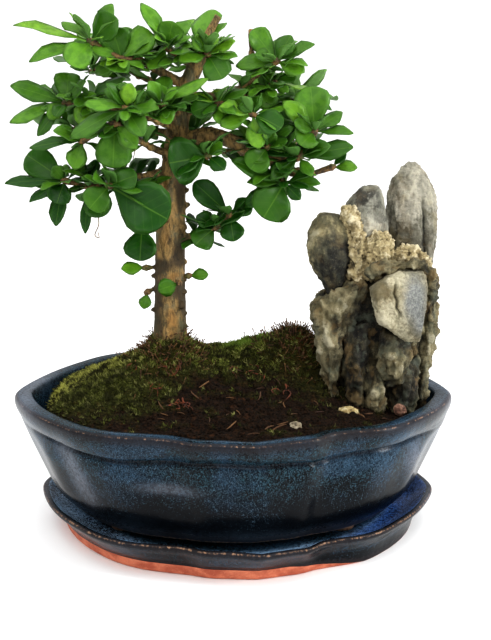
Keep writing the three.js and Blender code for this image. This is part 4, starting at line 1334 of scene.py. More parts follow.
def pot_place(row, angle):
    """A point of the pot; its wall swells and sinks between the lobes, and the groove below the
    lip is draped over them."""
    radius, z, lobing, ends, _ = row
    turned = angle - math.radians(POT_SKEW) * math.sin(angle) ** 2
    off_end = math.degrees(math.atan2(abs(math.sin(turned)), abs(math.cos(turned))))
    if RECESS_LOW < z < RECESS_HIGH and radius > 97:
        closed = RECESS_CLOSED + 0.3 * (z - RECESS_LOW) - ends
        radius = mix(radius, closed, ramp(off_end, *RECESS_CLOSES))
    x, y = plan_point(radius, angle, lobing, ends, POT_SKEW)
    swell = sum(amount * hill(off_end - middle, reach) for middle, reach, amount in WALL_SWELLS)
    swell *= ramp(z, *SWELL_IN) * ramp(z, *SWELL_OUT) * (radius > 86)
    wide = max(math.hypot(x, y), 1)
    drape = hill(z - GROOVE_HEIGHT, GROOVE_REACH) * DRAPE * (abs(math.sin(3 * turned + 0.4)) - 0.5)
    return x * (1 + swell / wide) + POT_SHIFT, y * (1 + swell / wide), dipped(x, z + drape)


def pot_pooling(row):
    """More and more down the wall, and half on the underside and the floor."""
    radius, z, *_ = row
    return ramp(z, 48, 22) if radius > 80 else 0.5


def saucer_pooling_and_light(row):
    """Below nothing on the inner slope, where flecks crowd most and are painted paler and bluer, as
    painted light in the pot's shade.
    """
    radius, z, _, _, thin = row
    if thin < 0.3 and z > DISH_HEIGHT:
        return -0.3 * ramp(radius, DISH_RADIUS, DISH_RADIUS + 6)
    return 0.35 if z > 8 and radius > 90 else 0.75


def glaze_run(x):
    """How far the glaze has run down over the saucer's foot: all the way at the right."""
    return (FOOT_HEIGHT - 0.3) * ramp(x, *RUN_SPAN)


def saucer_place(row, angle):
    """A point of the saucer, whose rim waves a little."""
    radius, z, lobing, ends, _ = row
    x, y = plan_point(radius, angle, lobing, ends, SAUCER_SKEW)
    x, y = x * SAUCER_SCALE[0], y * SAUCER_SCALE[1]
    turn = math.radians(SAUCER_TURN)
    x, y = x * math.cos(turn) - y * math.sin(turn), x * math.sin(turn) + y * math.cos(turn)
    wave = (0.5 * math.sin(3 * angle + 1) + 0.35 * math.sin(7 * angle)) * ramp(z, 8, 16)
    near = min(z / FOOT_HEIGHT, ramp(z, RUN_TOP, FOOT_HEIGHT))
    return x, y, z + wave - near * glaze_run(x) * (radius > 80)


def upright_post(radius, span, x, y):
    path = [Vector((x, y, mix(*span, k / 4))) for k in range(5)]
    return tube(path, (radius * 0.94, radius, radius, radius, radius), 32)


def make_pot():
    """The pot with its drain holes cut and its feet added. The fields are given again from the
    wall as it was, because the points of the holes and feet have none."""
    pot = lobed_vessel("glazed_pot", POT_PROFILE, pot_place, pot_pooling)
    walls = point_search(pot.data)
    fields = {name: stored(pot.data, name) for name in ("thin", "pooled")}
    spots = [end * DRAIN_SPREAD + POT_SHIFT for end in (-1, 1)]
    holes = [upright_post(DRAIN_RADIUS, DRAIN_SPAN, x, 0) for x in spots]
    cutter = new_object("drain_cutter", *joined(holes))
    cut = pot.modifiers.new("drains", "BOOLEAN")
    cut.operation = "DIFFERENCE"
    cut.solver = "EXACT"
    cut.object = cutter
    baked(pot)
    bpy.data.objects.remove(cutter)
    feet = []
    for side in (-1, 1):
        for end in (-1, 1):
            x, y = end * FOOT_SPREAD[0] + POT_SHIFT, side * FOOT_SPREAD[1]
            feet.append(upright_post(FOOT_RADIUS, FOOT_SPAN, x, y))
    merge_into(pot, new_object("feet", *joined(feet)))
    nearest = [walls.find(vertex.co)[1] for vertex in pot.data.vertices]
    for name, values in fields.items():
        if name in pot.data.attributes:
            pot.data.attributes.remove(pot.data.attributes[name])
        store(pot.data, name, [values[i] for i in nearest])
    return with_painted_glints(pot)


def with_painted_glints(piece):
    """Keeps on a glazed piece where highlights and reflections are painted on its glaze."""
    spots = [vertex.co / MM for vertex in piece.data.vertices]
    store(piece.data, "veil", [blotted(PAINTED_GLINTS, spot.x, spot.z) for spot in spots])
    return piece


def merge_into(piece, other):
    """Adds another object's mesh to the piece and removes that object."""
    shape = bmesh.new()
    shape.from_mesh(piece.data)
    shape.from_mesh(other.data)
    shape.to_mesh(piece.data)
    shape.free()
    bpy.data.objects.remove(other)


# Ground


def make_soil():
    """The filled pot's soil: walls inside the pot, and a fine crumbly mound on top."""
    angles = [TAU * k / SOIL_SEGMENTS for k in range(SOIL_SEGMENTS)]
    points = [(POT_SHIFT, 0.0, SOIL_WALL[0][1])]
    for radius, z, lobing, ends in SOIL_WALL:
        for angle in angles:
            x, y = plan_point(radius, angle, lobing, ends, POT_SKEW)
            sunk = min(risen(x + POT_SHIFT, y), 0) * (z > SOIL_TOP_FROM)
            inward = 1 + INWARD * sunk
            points.append((x * inward + POT_SHIFT, y * inward, dipped(x, z) + sunk))
    moss, stalks = [0.0] * len(points), [0.0] * len(points)
    for ring in range(SOIL_RINGS):
        share = 1 - ring / SOIL_RINGS
        for angle in angles:
            x, y = plan_point(SOIL_RIM * share, angle, share, SOIL_ENDS * share, POT_SKEW)
            x += POT_SHIFT
            inside = clamp((1 - share) * 12)
            rough = noise.fractal(Vector((x, y, 3)) * 0.16, 1, 2, 5) * 1.7
            crumb = noise.fractal(Vector((x, y, 9)) * 0.62, 0.8, 2, 3) * 0.75
            uneven = 0.4 * noise.noise(Vector((x, y, 0)) * 0.14)
            green = clamp(patch_strength(MOSS_PATCHES, x, y) - 0.08 + uneven)
            lift = green * 1.2
            points.append((x, y, ground_height(x, y) + inside * (rough + crumb + lift)))
            moss.append(green)
            stalks.append(clamp(patch_strength(STALK_PATCHES, x, y)))
    points.append((POT_SHIFT, 0.0, mound_height(POT_SHIFT, 0)))
    moss.append(0.0)
    stalks.append(0.0)
    faces = ring_faces(len(SOIL_WALL) + SOIL_RINGS, SOIL_SEGMENTS)
    soil = new_object("soil_mound", points, faces)
    store(soil.data, "moss", moss)
    store(soil.data, "stalks", stalks)
    return soil


def cover_surface(ground):
    """The top of the soil, with a field for where it is bare, kept apart for the scattering."""
    mesh = ground.data.copy()
    half_x, half_y = BARE_HALVES
    bare = []
    for vertex, green in zip(mesh.vertices, stored(mesh, "moss")):
        x, y, z = vertex.co
        inside = z > SOIL_TOP_FROM * MM and math.hypot(x / half_x, y / half_y) < 1
        bare.append((1 - 0.8 * green) * inside)
    store(mesh, "bare", bare)
    return placed("soil_top", mesh)


def template(name, points, faces):
    """A small shape that a tree repeats, with its size in millimetres; it is removed once the
    tree has run."""
    shape = new_object(name, points, faces, smooth=False)
    shape.hide_render = True
    return shape


def sprig_template():
    """Four pointed leaflets of moss, each a closed spike."""
    points, faces = [], []
    for k in range(4):
        turn = TAU * k / 4 + 0.4 * (k % 2)
        lean = 0.35 + 0.3 * (k % 3)
        foot = Vector((0.1 * math.cos(turn), 0.1 * math.sin(turn), 0))
        tip = Vector((lean * math.cos(turn), lean * math.sin(turn), 1.2 - 0.35 * lean))
        side = Vector((-math.sin(turn), math.cos(turn), 0)) * 0.17
        back = Vector((math.cos(turn), math.sin(turn), 0)) * -0.12
        start = len(points)
        points += [foot + side, foot - side, foot + back, tip]
        faces += [(start, start + 3, start + 1), (start + 1, start + 3, start + 2)]
        faces += [(start + 2, start + 3, start), (start, start + 1, start + 2)]
    return template("moss_sprig", points, faces)


def crumb_template():
    """A rough crumb of soil."""
    return template("crumb", *rough_ball(1, 1, 0.5, 2.1, Vector()))


def stalk_template():
    """A thin upright stalk with a slightly swollen tip."""
    path = ((0, 0, 0), (0.04, 0, 0.4), (0.1, 0.02, 0.8), (0.14, 0.02, 1))
    return template("stalk", *tube([Vector(spot) for spot in path], (0.035, 0.03, 0.03, 0.06), 4))


def needle_template():
    """A fallen needle, one long and level, a little bent."""
    path = ((-0.5, 0, 0), (-0.1, 0.05, 0.03), (0.2, 0.04, 0.02), (0.5, -0.04, 0))
    return template("needle", *tube([Vector(spot) for spot in path], (0.035, 0.05, 0.045, 0.02), 4))


def new_tree(name, *sockets):
    """A Geometry Nodes tree with its inputs and one geometry output."""
    tree = bpy.data.node_groups.new(name, "GeometryNodeTree")
    tree.interface.new_socket("Geometry", in_out="INPUT", socket_type="NodeSocketGeometry")
    tree.interface.new_socket("Geometry", in_out="OUTPUT", socket_type="NodeSocketGeometry")
    for label, kind in sockets:
        tree.interface.new_socket(label, in_out="INPUT", socket_type=f"NodeSocket{kind}")
    return tree, tree.nodes.new("NodeGroupInput"), tree.nodes.new("NodeGroupOutput")


def grow(piece, tree, **values):
    """Runs a tree on the piece with its inputs set, and keeps the result as a plain mesh."""
    modifier = piece.modifiers.new(tree.name, "NODES")
    modifier.node_group = tree
    for socket in tree.interface.items_tree:
        label = socket.name.lower().replace(" ", "_")
        if socket.in_out == "INPUT" and label in values:
            modifier[socket.identifier] = values[label]
    return baked(piece)


def named(tree, name, data_type="FLOAT"):
    """A field that the mesh keeps under a name."""
    node = add(tree, "GeometryNodeInputNamedAttribute", {"Name": name}, data_type=data_type)
    return node.outputs["Attribute"]


def coated(tree, geometry, finish):
    """The geometry with a material on it."""
    return add(tree, "GeometryNodeSetMaterial", {0: geometry, "Material": finish}).outputs[0]


def keep(tree, geometry, name, value):
    """Keeps a value for each instance under a name."""
    settings = {"data_type": "FLOAT", "domain": "INSTANCE"}
    values = {"Geometry": geometry, "Name": name, "Value": value}
    return add(tree, "GeometryNodeStoreNamedAttribute", values, **settings).outputs[0]


def chance(tree, low, high, seed, shift):
    """A random number for each point."""
    values = {2: low, 3: high, 8: calc(tree, "ADD", seed, shift)}
    return add(tree, "FunctionNodeRandomValue", values, data_type="FLOAT").outputs[1]


def scatter_tree():
    """Scatters a small shape over a surface, more where a named field of the surface is high."""
    tree, given, result = new_tree(
        "scatter",
        ("Shape", "Object"),
        ("Field", "String"),
        ("Density", "Float"),
        ("Smallest", "Float"),
        ("Largest", "Float"),
        ("Lean", "Float"),
        ("Sink", "Float"),
        ("Seed", "Int"),
        ("Finish", "Material"),
    )
    ask = given.outputs
    crowd = times(tree, named(tree, ask["Field"]), ask["Density"])
    spots = add(
        tree,
        "GeometryNodeDistributePointsOnFaces",
        {"Mesh": ask["Geometry"], "Density": crowd, "Seed": ask["Seed"]},
        distribute_method="RANDOM",
    )
    values = {0: (-1, -1, -math.pi), 1: (1, 1, math.pi), 8: ask["Seed"]}
    turn = add(tree, "FunctionNodeRandomValue", values, data_type="FLOAT_VECTOR")
    lean = add(tree, "ShaderNodeCombineXYZ", {0: ask["Lean"], 1: ask["Lean"], 2: 1.0}).outputs[0]
    angles = vector_calc(tree, "MULTIPLY", turn.outputs[0], lean)
    values = {"Vector": spots.outputs["Normal"]}
    to_normal = add(tree, "FunctionNodeAlignRotationToVector", values, axis="Z")
    own = add(tree, "FunctionNodeEulerToRotation", {0: angles})
    values = {0: to_normal.outputs[0], 1: own.outputs[0]}
    facing = add(tree, "FunctionNodeRotateRotation", values, rotation_space="LOCAL").outputs[0]
    size = chance(tree, ask["Smallest"], ask["Largest"], ask["Seed"], 7)
    shape = add(tree, "GeometryNodeObjectInfo", {"Object": ask["Shape"], "As Instance": True})
    values = {"Points": spots.outputs["Points"], "Instance": shape.outputs["Geometry"]}
    values |= {"Rotation": facing, "Scale": size}
    rows = add(tree, "GeometryNodeInstanceOnPoints", values).outputs[0]
    sunk = add(tree, "ShaderNodeCombineXYZ", {2: times(tree, ask["Sink"], -MM)}).outputs[0]
    rows = add(tree, "GeometryNodeTranslateInstances", {0: rows, "Translation": sunk}).outputs[0]
    rows = keep(tree, rows, "tone", chance(tree, 0.0, 1.0, ask["Seed"], 13))
    solid = add(tree, "GeometryNodeRealizeInstances", {0: rows}).outputs[0]
    tree.links.new(coated(tree, solid, ask["Finish"]), result.inputs[0])
    return tree


def scattered(name, ground, shape, finish, **values):
    """A piece of many small shapes over the top of the soil."""
    surface = placed(name, ground.data.copy())
    surface.data.name = name
    if "scatter" not in bpy.data.node_groups:
        scatter_tree()
    grow(surface, bpy.data.node_groups["scatter"], shape=shape, finish=finish, **values)
    return finish_piece(surface, "soil")


# Tree


def make_trunk():
    """The trunk, limbs and cut stubs, grown together and given their bark."""
    parts = [tube(smooth_path([knot[:3] for knot in TRUNK], 6), [knot[3] for knot in TRUNK], 24)]
    for limb in LIMBS:
        radius, path = limb.radius, smooth_path(limb.wood, 5)
        parts.append(tube(path, [radius, radius * 0.8, radius * LIMB_TAPER], 14))
        parts.append(knob(path[0], radius * 1.35))
        parts.append(knob(path[-1], radius * 0.95))
        if len(limb.wood) > 2:
            parts.append(knob(path[len(path) // 2], radius * 1.02))
    parts.append(tube(smooth_path(THICK_LIMB, 6), THICK_LIMB_RADII, 16))
    parts += [knob(place, radius) for *place, radius in LIMB_KNOBS]
    for start, end, radius in STUBS:
        path = smooth_path((start, end), 4)
        parts.append(tube(path, (radius * 1.15, radius, radius * 0.85), 12))
    parts += [knob(place, radius) for *place, radius in TRUNK_KNOBS]
    trunk = new_object("trunk_and_limbs", *joined(parts))
    displace(relax(remesh(trunk, TRUNK_CELL), 4), bark_relief)
    spots = [vertex.co / MM for vertex in trunk.data.vertices]
    store(trunk.data, "shade", [blotted(BARK_PATCHES, spot.x, spot.z) for spot in spots])
    return trunk


def knob(place, radius):
    """A lumpy round swelling."""
    return rough_ball(2, radius, 0.25, 0.7, Vector(place))


def squeezed(place, share):
    """A place with less height, so that what is drawn from it stands upright and long."""
    return Vector((place.x, place.y, place.z * share))


def bark_relief(place):
    """Long plates and cracks up the wood, with a few lumps."""
    low = squeezed(place, 0.32)
    cracks = 1 - abs(noise.noise(low * 0.62 + Vector((5, 0, 0)))) * 2
    fine = noise.fractal(low * 1.5, 0.9, 2, 3)
    lumps = noise.noise(place * 0.19)
    return 0.35 * lumps - 0.42 * max(0.0, cracks - 0.45) + 0.14 * fine


def blade_template(name, outline, columns_at):
    """A closed thin blade whose two faces meet at the edge; its field keeps the place along and
    across and how far the point is on the lower face."""
    rows, columns = len(outline), len(columns_at)
    points, field, under, index = [], [], [], {}
    for below in (0, 1):
        for row, (middle, edge, half) in enumerate(outline):
            for column, across in enumerate(columns_at):
                rim = row in (0, rows - 1) or column in (0, columns - 1)
                if below and rim:
                    index[below, row, column] = index[0, row, column]
                    continue
                index[below, row, column] = len(points)
                along = mix(middle, edge, across * across)
                side = 0.5 if rim else float(below)
                points.append((along, across * half, -0.001 * side))
                field.append((along, across * half, side))
                under.append(side)
    faces = []
    for row in range(rows - 1):
        for column in range(columns - 1):
            corners = ((row, column), (row + 1, column), (row + 1, column + 1), (row, column + 1))
            faces.append(tuple(index[1, r, c] for r, c in (*corners[1:], corners[0])))
            faces.append(tuple(index[0, r, c] for r, c in reversed(corners)))
    shape = template(name, points, faces)
    shape.data.polygons.foreach_set("use_smooth", [True] * len(shape.data.polygons))
    store(shape.data, "blade", field, "FLOAT_VECTOR")
    store(shape.data, "under", under)
    return shape


def spray_tree():
    """A leafy spray: blades bent to their own frames, and its twig swept along its path.

    The points that stand for leaves carry where the blade starts and its directions; the edges
    are the twig's path and carry its radius."""
    tree, given, result = new_tree(
        "spray",
        ("Broad Blade", "Object"),
        ("Slim Blade", "Object"),
        ("Arch", "Float"),
        ("Fold", "Float"),
        ("Curl", "Float"),
        ("Thickness", "Float"),
        ("Leaf Finish", "Material"),
        ("Twig Finish", "Material"),
    )
    ask = given.outputs
    leafy = calc(tree, "GREATER_THAN", named(tree, "length"), 0.0)
    apart = add(
        tree,
        "GeometryNodeSeparateGeometry",
        {"Geometry": ask["Geometry"], "Selection": leafy},
        domain="POINT",
    )
    slim = named(tree, "slim")
    broad = calc(tree, "SUBTRACT", 1.0, slim)
    both = add(tree, "GeometryNodeJoinGeometry")
    for label, chosen in (("Broad Blade", broad), ("Slim Blade", slim)):
        shape = add(tree, "GeometryNodeObjectInfo", {"Object": ask[label], "As Instance": True})
        values = {"Points": apart.outputs[0], "Selection": chosen}
        values["Instance"] = shape.outputs["Geometry"]
        rows = add(tree, "GeometryNodeInstanceOnPoints", values).outputs[0]
        tree.links.new(rows, both.inputs[0])
    solid = add(tree, "GeometryNodeRealizeInstances", {0: both.outputs[0]}).outputs[0]
    where = add(tree, "GeometryNodeInputPosition").outputs[0]
    along, across, below = parts_of(tree, named(tree, "blade", "FLOAT_VECTOR"))
    length, own = named(tree, "length"), named(tree, "curl")
    half = times(tree, named(tree, "width"), 0.5)
    bow = times(tree, calc(tree, "SUBTRACT", along, times(tree, along, along)), length)
    aside = times(tree, calc(tree, "ABSOLUTE", across), half)
    rise = calc(tree, "MULTIPLY_ADD", aside, ask["Fold"], times(tree, bow, ask["Arch"]))
    phase = calc(tree, "MULTIPLY_ADD", own, 6.28, times(tree, along, 7.0))
    ripple = times(tree, calc(tree, "SINE", phase), times(tree, aside, ask["Curl"]))
    rise = calc(tree, "ADD", rise, ripple)
    sideways = times(tree, across, half)
    twist = times(tree, calc(tree, "SUBTRACT", own, 0.5), sideways)
    rise = calc(tree, "MULTIPLY_ADD", times(tree, twist, along), ask["Curl"], rise)
    rise = calc(tree, "SUBTRACT", rise, times(tree, below, ask["Thickness"]))
    place = vector_calc(tree, "SUBTRACT", where, flat_blade(tree, along, across, below))
    moves = {"along": times(tree, along, length), "side": sideways, "upper": rise}
    for name, amount in moves.items():
        step = vector_calc(tree, "SCALE", named(tree, name, "FLOAT_VECTOR"), scale=amount)
        place = vector_calc(tree, "ADD", place, step)
    shaped = add(tree, "GeometryNodeSetPosition", {"Geometry": solid, "Position": place}).outputs[0]
    curve = add(tree, "GeometryNodeMeshToCurve", {0: apart.outputs[1]}).outputs[0]
    values = {"Curve": curve, "Radius": named(tree, "radius")}
    curve = add(tree, "GeometryNodeSetCurveRadius", values).outputs[0]
    values = {"Resolution": 9, "Radius": 1.0}
    ring = add(tree, "GeometryNodeCurvePrimitiveCircle", values).outputs[0]
    values = {"Curve": curve, "Profile Curve": ring, "Fill Caps": True}
    values["Scale"] = named(tree, "radius")
    wood = add(tree, "GeometryNodeCurveToMesh", values).outputs[0]
    whole = add(tree, "GeometryNodeJoinGeometry")
    tree.links.new(coated(tree, shaped, ask["Leaf Finish"]), whole.inputs[0])
    tree.links.new(coated(tree, wood, ask["Twig Finish"]), whole.inputs[0])
    smooth = add(tree, "GeometryNodeSetShadeSmooth", {0: whole.outputs[0]}).outputs[0]
    tree.links.new(smooth, result.inputs[0])
    return tree


def flat_blade(tree, along, across, below):
    """Where the blade's template had the point, in metres."""
    values = {0: along, 1: across, 2: times(tree, below, -0.001)}
    flat = add(tree, "ShaderNodeCombineXYZ", values).outputs[0]
    return vector_calc(tree, "SCALE", flat, scale=MM)


def blade_frame(base, tip, facing, bend):
    """Directions of a blade along, to its side and up, as the source turns them."""
    along = tip - base
    length = along.length
    along = along.normalized()
    level = Vector((-along.y, along.x, 0))
    if level.length_squared > 1e-6:
        along = Matrix.Rotation(-math.radians(bend), 3, level.normalized()) @ along
    upper = Vector((0, -math.sin(math.radians(facing)), math.cos(math.radians(facing))))
    upper = (upper - along * upper.dot(along)).normalized()
    return length, along, along.cross(upper), upper


def spray_leaves(index, limb, corners):
    """Frames of the leaves that the spray's node really has, found by the places of their tips."""
    leaves = []
    for place, (centre, given) in enumerate(limb.rosettes):
        middle = Vector(centre)
        rows = given or rule_leaves(100 * index + 50 * place)
        for number, (x, y, z, width, facing) in enumerate(rows):
            reach = Vector((x, y, z))
            base = middle + reach.normalized() * (CLUSTER_RADIUS - STALK_SINK)
            for bend in BENDS:
                length, along, side, upper = blade_frame(base, middle + reach, facing, bend)
                tip = base + along * length
                ends = [tip - upper * LEAF_THICKNESS * k for k in (0, 1)]
                if min(corners.find(end * MM)[2] / MM for end in ends) < MATCH:
                    seed = 1000 * index + 100 * place + number
                    leaves.append(Leaf(base, along, side, upper, length, width, seed))
                    break
    return leaves


def inner_leaves(index, limb):
    """The other leaves of each rosette, and tufts of leaves along the limb and its twig."""
    leaves = []
    for place, (centre, given) in enumerate(limb.rosettes):
        if given is None or len(given) > 2:
            reach = 1.0 if given is None or len(given) > 3 else 0.7
            seed = 5000 + 1000 * index + 100 * place
            leaves += tuft(Vector(centre), INNER_COUNT, INNER_LENGTH, reach, seed)
    first, given = limb.rosettes[0]
    if given is None or len(given) > 2:
        wood = smooth_path([*limb.wood, first], 4)
        for number, share in enumerate(TUFT_SHARES):
            spot = wood[round(share * (len(wood) - 1))]
            leaves += tuft(spot, TUFT_COUNT, TUFT_LENGTH, 1.0, 9000 + 1000 * index + 100 * number)
    return leaves


def tuft(centre, count, lengths, reach, seed):
    """Leaves that stand out from a place, each turned on by the same angle."""
    leaves = []
    for k in range(count):
        turn = math.radians(RULE_TURN) * k + TAU * draw(seed)
        lift = mix(-0.5, 0.9, draw(seed + 20 + k))
        length = mix(*lengths, draw(seed + 40 + k)) * reach
        level = math.cos(lift)
        way = Vector((math.cos(turn) * level, math.sin(turn) * level, math.sin(lift)))
        facing = mix(*INNER_FACING, draw(seed + 60 + k)) - 30 * clamp(way.y * 2)
        base = centre + way * 0.6
        length, along, side, upper = blade_frame(base, base + way * length, facing, 0)
        width = length * mix(*INNER_SHAPE, draw(seed + 80 + k))
        leaves.append(Leaf(base, along, side, upper, length, width, seed + k))
    return leaves


def twig_path(limb):
    """The green end of a limb: its path and radii, thicker and knobbly at each rosette."""
    knots, sizes = [Vector(limb.wood[-1])], [limb.radius * 0.6]
    for place, (centre, _) in enumerate(limb.rosettes):
        if place > 0:
            knots.append(knots[-1].lerp(Vector(centre), 0.5))
            sizes.append(1.0)
        knots.append(Vector(centre))
        sizes.append(CLUSTER_RADIUS * 0.95)
    knots.append(knots[-1] + (knots[-1] - knots[-2]).normalized() * 2)
    sizes.append(1.0)
    steps = 6
    path = smooth_path(knots, steps)
    radii = []
    for i in range(len(path)):
        lump = 0.22 * noise.noise(path[i] * 0.9)
        radii.append(between(sizes, i / steps) * (1 + lump))
    return path, radii


def spray_seed(index, limb):
    """The mesh that the spray's tree reads: points for leaves, edges for the twig."""
    name = f"spray_{limb.name}"
    leaves = spray_leaves(index, limb, point_search(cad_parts[name].data))
    found = len(leaves)
    leaves += inner_leaves(index, limb)
    path, radii = twig_path(limb)
    mesh = bpy.data.meshes.new(f"leafy_{name}")
    points = [leaf.base * MM for leaf in leaves] + [point * MM for point in path]
    edges = [(len(leaves) + i, len(leaves) + i + 1) for i in range(len(path) - 1)]
    mesh.from_pydata(points, edges, [])
    blank = [Vector((0, 0, 0))] * len(path)
    for field in ("along", "side", "upper"):
        store(mesh, field, [getattr(leaf, field) for leaf in leaves] + blank, "FLOAT_VECTOR")
    fields = {
        "length": [leaf.length * MM for leaf in leaves],
        "width": [leaf.width * MM for leaf in leaves],
        "slim": [float(leaf.width < BROAD_FROM) for leaf in leaves],
        "tone": [tone_with_height_light(leaf) for leaf in leaves],
        "curl": [draw(leaf.seed + 9) for leaf in leaves],
        "young": [youth(leaf) for leaf in leaves],
    }
    for field, values in fields.items():
        store(mesh, field, values + [0.0] * len(path))
    store(mesh, "radius", [0.0] * len(leaves) + [radius * MM for radius in radii])
    return placed(f"leafy_{name}", mesh), found


def tone_with_height_light(leaf):
    """How bright a leaf is, from 0 to 1: each has its own share, and high ones have more as painted
    light, low ones less as painted shade.
    """
    return clamp(draw(leaf.seed + 7) + clamp((leaf.base.z - 200) / 70, -0.7, 0.25))


def youth(leaf):
    """How young and yellow-green a leaf is: a few of the narrow ones, more of them high up."""
    lucky = draw(leaf.seed + 11)
    if leaf.base.z < 140:
        return 0.3 + 0.6 * lucky
    high = ramp(leaf.base.z, 195, 235)
    return clamp((lucky - 0.88 + 0.14 * high) * 4) * (leaf.width < BROAD_FROM)


def tendril(path):
    return tube(smooth_path(path, 8), (0.3, 0.26, 0.22, 0.18), 7)


def rootlet(x, y, reach, seed):
    """A thin crooked root that lies on the soil and dives into it at both ends."""
    path = []
    x, y = x + reach * (draw(seed) - 0.5), y + reach * (draw(seed + 1) + 0.2)
    for i in range(5):
        sink = -1.2 if i in (0, 4) else 0.4 + 1.3 * draw(seed + 10 + i)
        path.append(Vector((x, y, ground_height(x, y) + sink)))
        x += reach * 0.9 * (draw(seed + 20 + i) - 0.5)
        y -= reach * 0.45 * draw(seed + 30 + i)
    thick = mix(0.16, 0.46, draw(seed + 2))
    return tube(smooth_path(path, 4), (thick * 0.7, thick, thick * 0.8, thick * 0.4), 6)


# Rock


def rock(name, node, size_mm, relief, rounds=3, extra=()):
    """A stone of the frame with what is added to it, made fine, softened, and given its surface and
    its patches of painted light and shade."""
    piece = merged_copy(name, node)
    if extra:
        merge_into(piece, new_object("added_rim", *joined(extra)))
    piece = displace(relax(remesh(piece, size_mm), rounds), relief)
    lit, cool = [], []
    for vertex in piece.data.vertices:
        x, _, z = vertex.co / MM
        # The lit field: painted light and shade, uneven, with the patches added
        value = 0.5 + 0.25 * noise.fractal(vertex.co / MM * 0.16, 0.9, 2, 3)
        lit.append(clamp(value + blotted(ROCK_LIGHT_AND_SHADE.get(node, ()), x, z)))
        cool.append(clamp(blotted(COOL_PATCHES.get(node, ()), x, z) - 0.2))
    store(piece.data, "lit", lit)
    store(piece.data, "cool", cool)
    return piece


def ridged(place, octaves=4):
    """Sharp crests between rounded hollows."""
    value, reach, total = 0.0, 1.0, 0.0
    for _ in range(octaves):
        value += reach * (1 - abs(noise.noise(place)) * 2)
        total += reach
        reach *= 0.5
        place = place * 2.03 + Vector((3.1, 1.7, 9.2))
    return value / total


def tall_relief(place):
    """Long upright cracks and flakes, and one split down the right of its face."""
    crack = ridged(squeezed(place, 0.28) * 0.17 + Vector((2, 0, 0)), 4)
    grain = noise.fractal(place * 0.6, 0.9, 2, 4)
    line = 90.5 - 0.05 * (place.z - 150) + 1.5 * noise.noise(Vector((4, 0, place.z * 0.12)))
    split = hill(place.x - line, 0.7) * ramp(place.z, 170, 162) * (place.y < 2)
    return 1.5 * (crack - 0.5) + 0.5 * grain - 1.5 * split


def smooth_relief(place):
    """A water-worn face with shallow pits."""
    swell = noise.fractal(place * 0.12, 0.9, 2, 4)
    pits = noise.fractal(place * 0.55, 0.9, 2, 3)
    return 0.8 * swell + 0.35 * pits


def split_relief(place):
    """Flat broken faces with one deep crack down the front."""
    line = 75 + 2.4 * noise.noise(Vector((0, 0, place.z * 0.2))) - 0.1 * (place.z - 118)
    along = math.exp(-(((place.z - 119) / 8) ** 4))
    crack = hill(place.x - line, 0.6) * ramp(place.y, -12, -20) * along
    step = round(noise.noise(place * 0.11) * 3) / 3
    grain = noise.fractal(place * 0.7, 0.9, 2, 4)
    return 0.5 * step + 0.35 * grain - 2.2 * crack


def crag_relief(place):
    """Upright drips and deep hollows between them."""
    drips = ridged(squeezed(place, 0.36) * 0.15, 4)
    pits = noise.fractal(place * 0.2, 0.8, 2, 4)
    chips = ridged(squeezed(place, 0.5) * 0.34, 3) - 0.5
    flakes = noise.voronoi(squeezed(place, 0.6) * 0.17)[0]
    return 3.2 * (drips - 0.55) + 1.2 * pits + 1.1 * chips + 1.6 * min(flakes[1] - flakes[0], 0.5)


def mortar_relief(place):
    """Crumbly filling with many small lumps."""
    lumps = noise.fractal(place * 0.3, 0.6, 2, 6)
    crumbs = 1 - noise.voronoi(place * 0.75)[0][0] * 1.6
    return 1.7 * lumps + 0.45 * crumbs


def pebble_relief(place):
    return 0.3 * noise.fractal(place * 0.5, 0.9, 2, 3)


# The settings that a user would change

COLOUR_RANGE = {"size": 4, "min": 0, "max": 1}


class BonsaiPotterySettings(bpy.types.PropertyGroup):
    """Colours of the glazed pot and saucer."""

    glaze_deep: bpy.props.FloatVectorProperty(
        name="Deep glaze",
        description="Colour of the glaze where it pools",
        default=colour(6, 9, 13),
        subtype="COLOR",
        **COLOUR_RANGE,
    )
    glaze_body: bpy.props.FloatVectorProperty(
        name="Glaze",
        description="Colour of the glaze between the flecks",
        default=colour(17, 27, 37),
        subtype="COLOR",
        **COLOUR_RANGE,
    )
    glaze_fleck: bpy.props.FloatVectorProperty(
        name="Flecks",
        description="Colour of the flecks in the glaze",
        default=colour(44, 69, 88),
        subtype="COLOR",
        **COLOUR_RANGE,
    )
    clay: bpy.props.FloatVectorProperty(
        name="Clay",
        description="Colour of the bare clay foot",
        default=colour(206, 120, 88),
        subtype="COLOR",
        **COLOUR_RANGE,
    )


class BonsaiGroundSettings(bpy.types.PropertyGroup):
    """Colours and cover of the soil."""

    soil: bpy.props.FloatVectorProperty(
        name="Soil",
        description="Colour of the soil's crumbs",
        default=colour(46, 31, 20),
        subtype="COLOR",
        **COLOUR_RANGE,
    )
    moss: bpy.props.FloatVectorProperty(
        name="Moss",
        description="Colour of the moss",
        default=colour(150, 158, 74),
        subtype="COLOR",
        **COLOUR_RANGE,
    )
    moss_density: bpy.props.FloatProperty(
        name="Moss density",
        description="Sprigs of moss for each square millimetre where it is thickest",
        default=0.78,
        min=0,
        max=0.8,
    )
    crumb_density: bpy.props.FloatProperty(
        name="Crumb density",
        description="Loose crumbs for each square millimetre",
        default=0.16,
        min=0,
        max=1,
    )


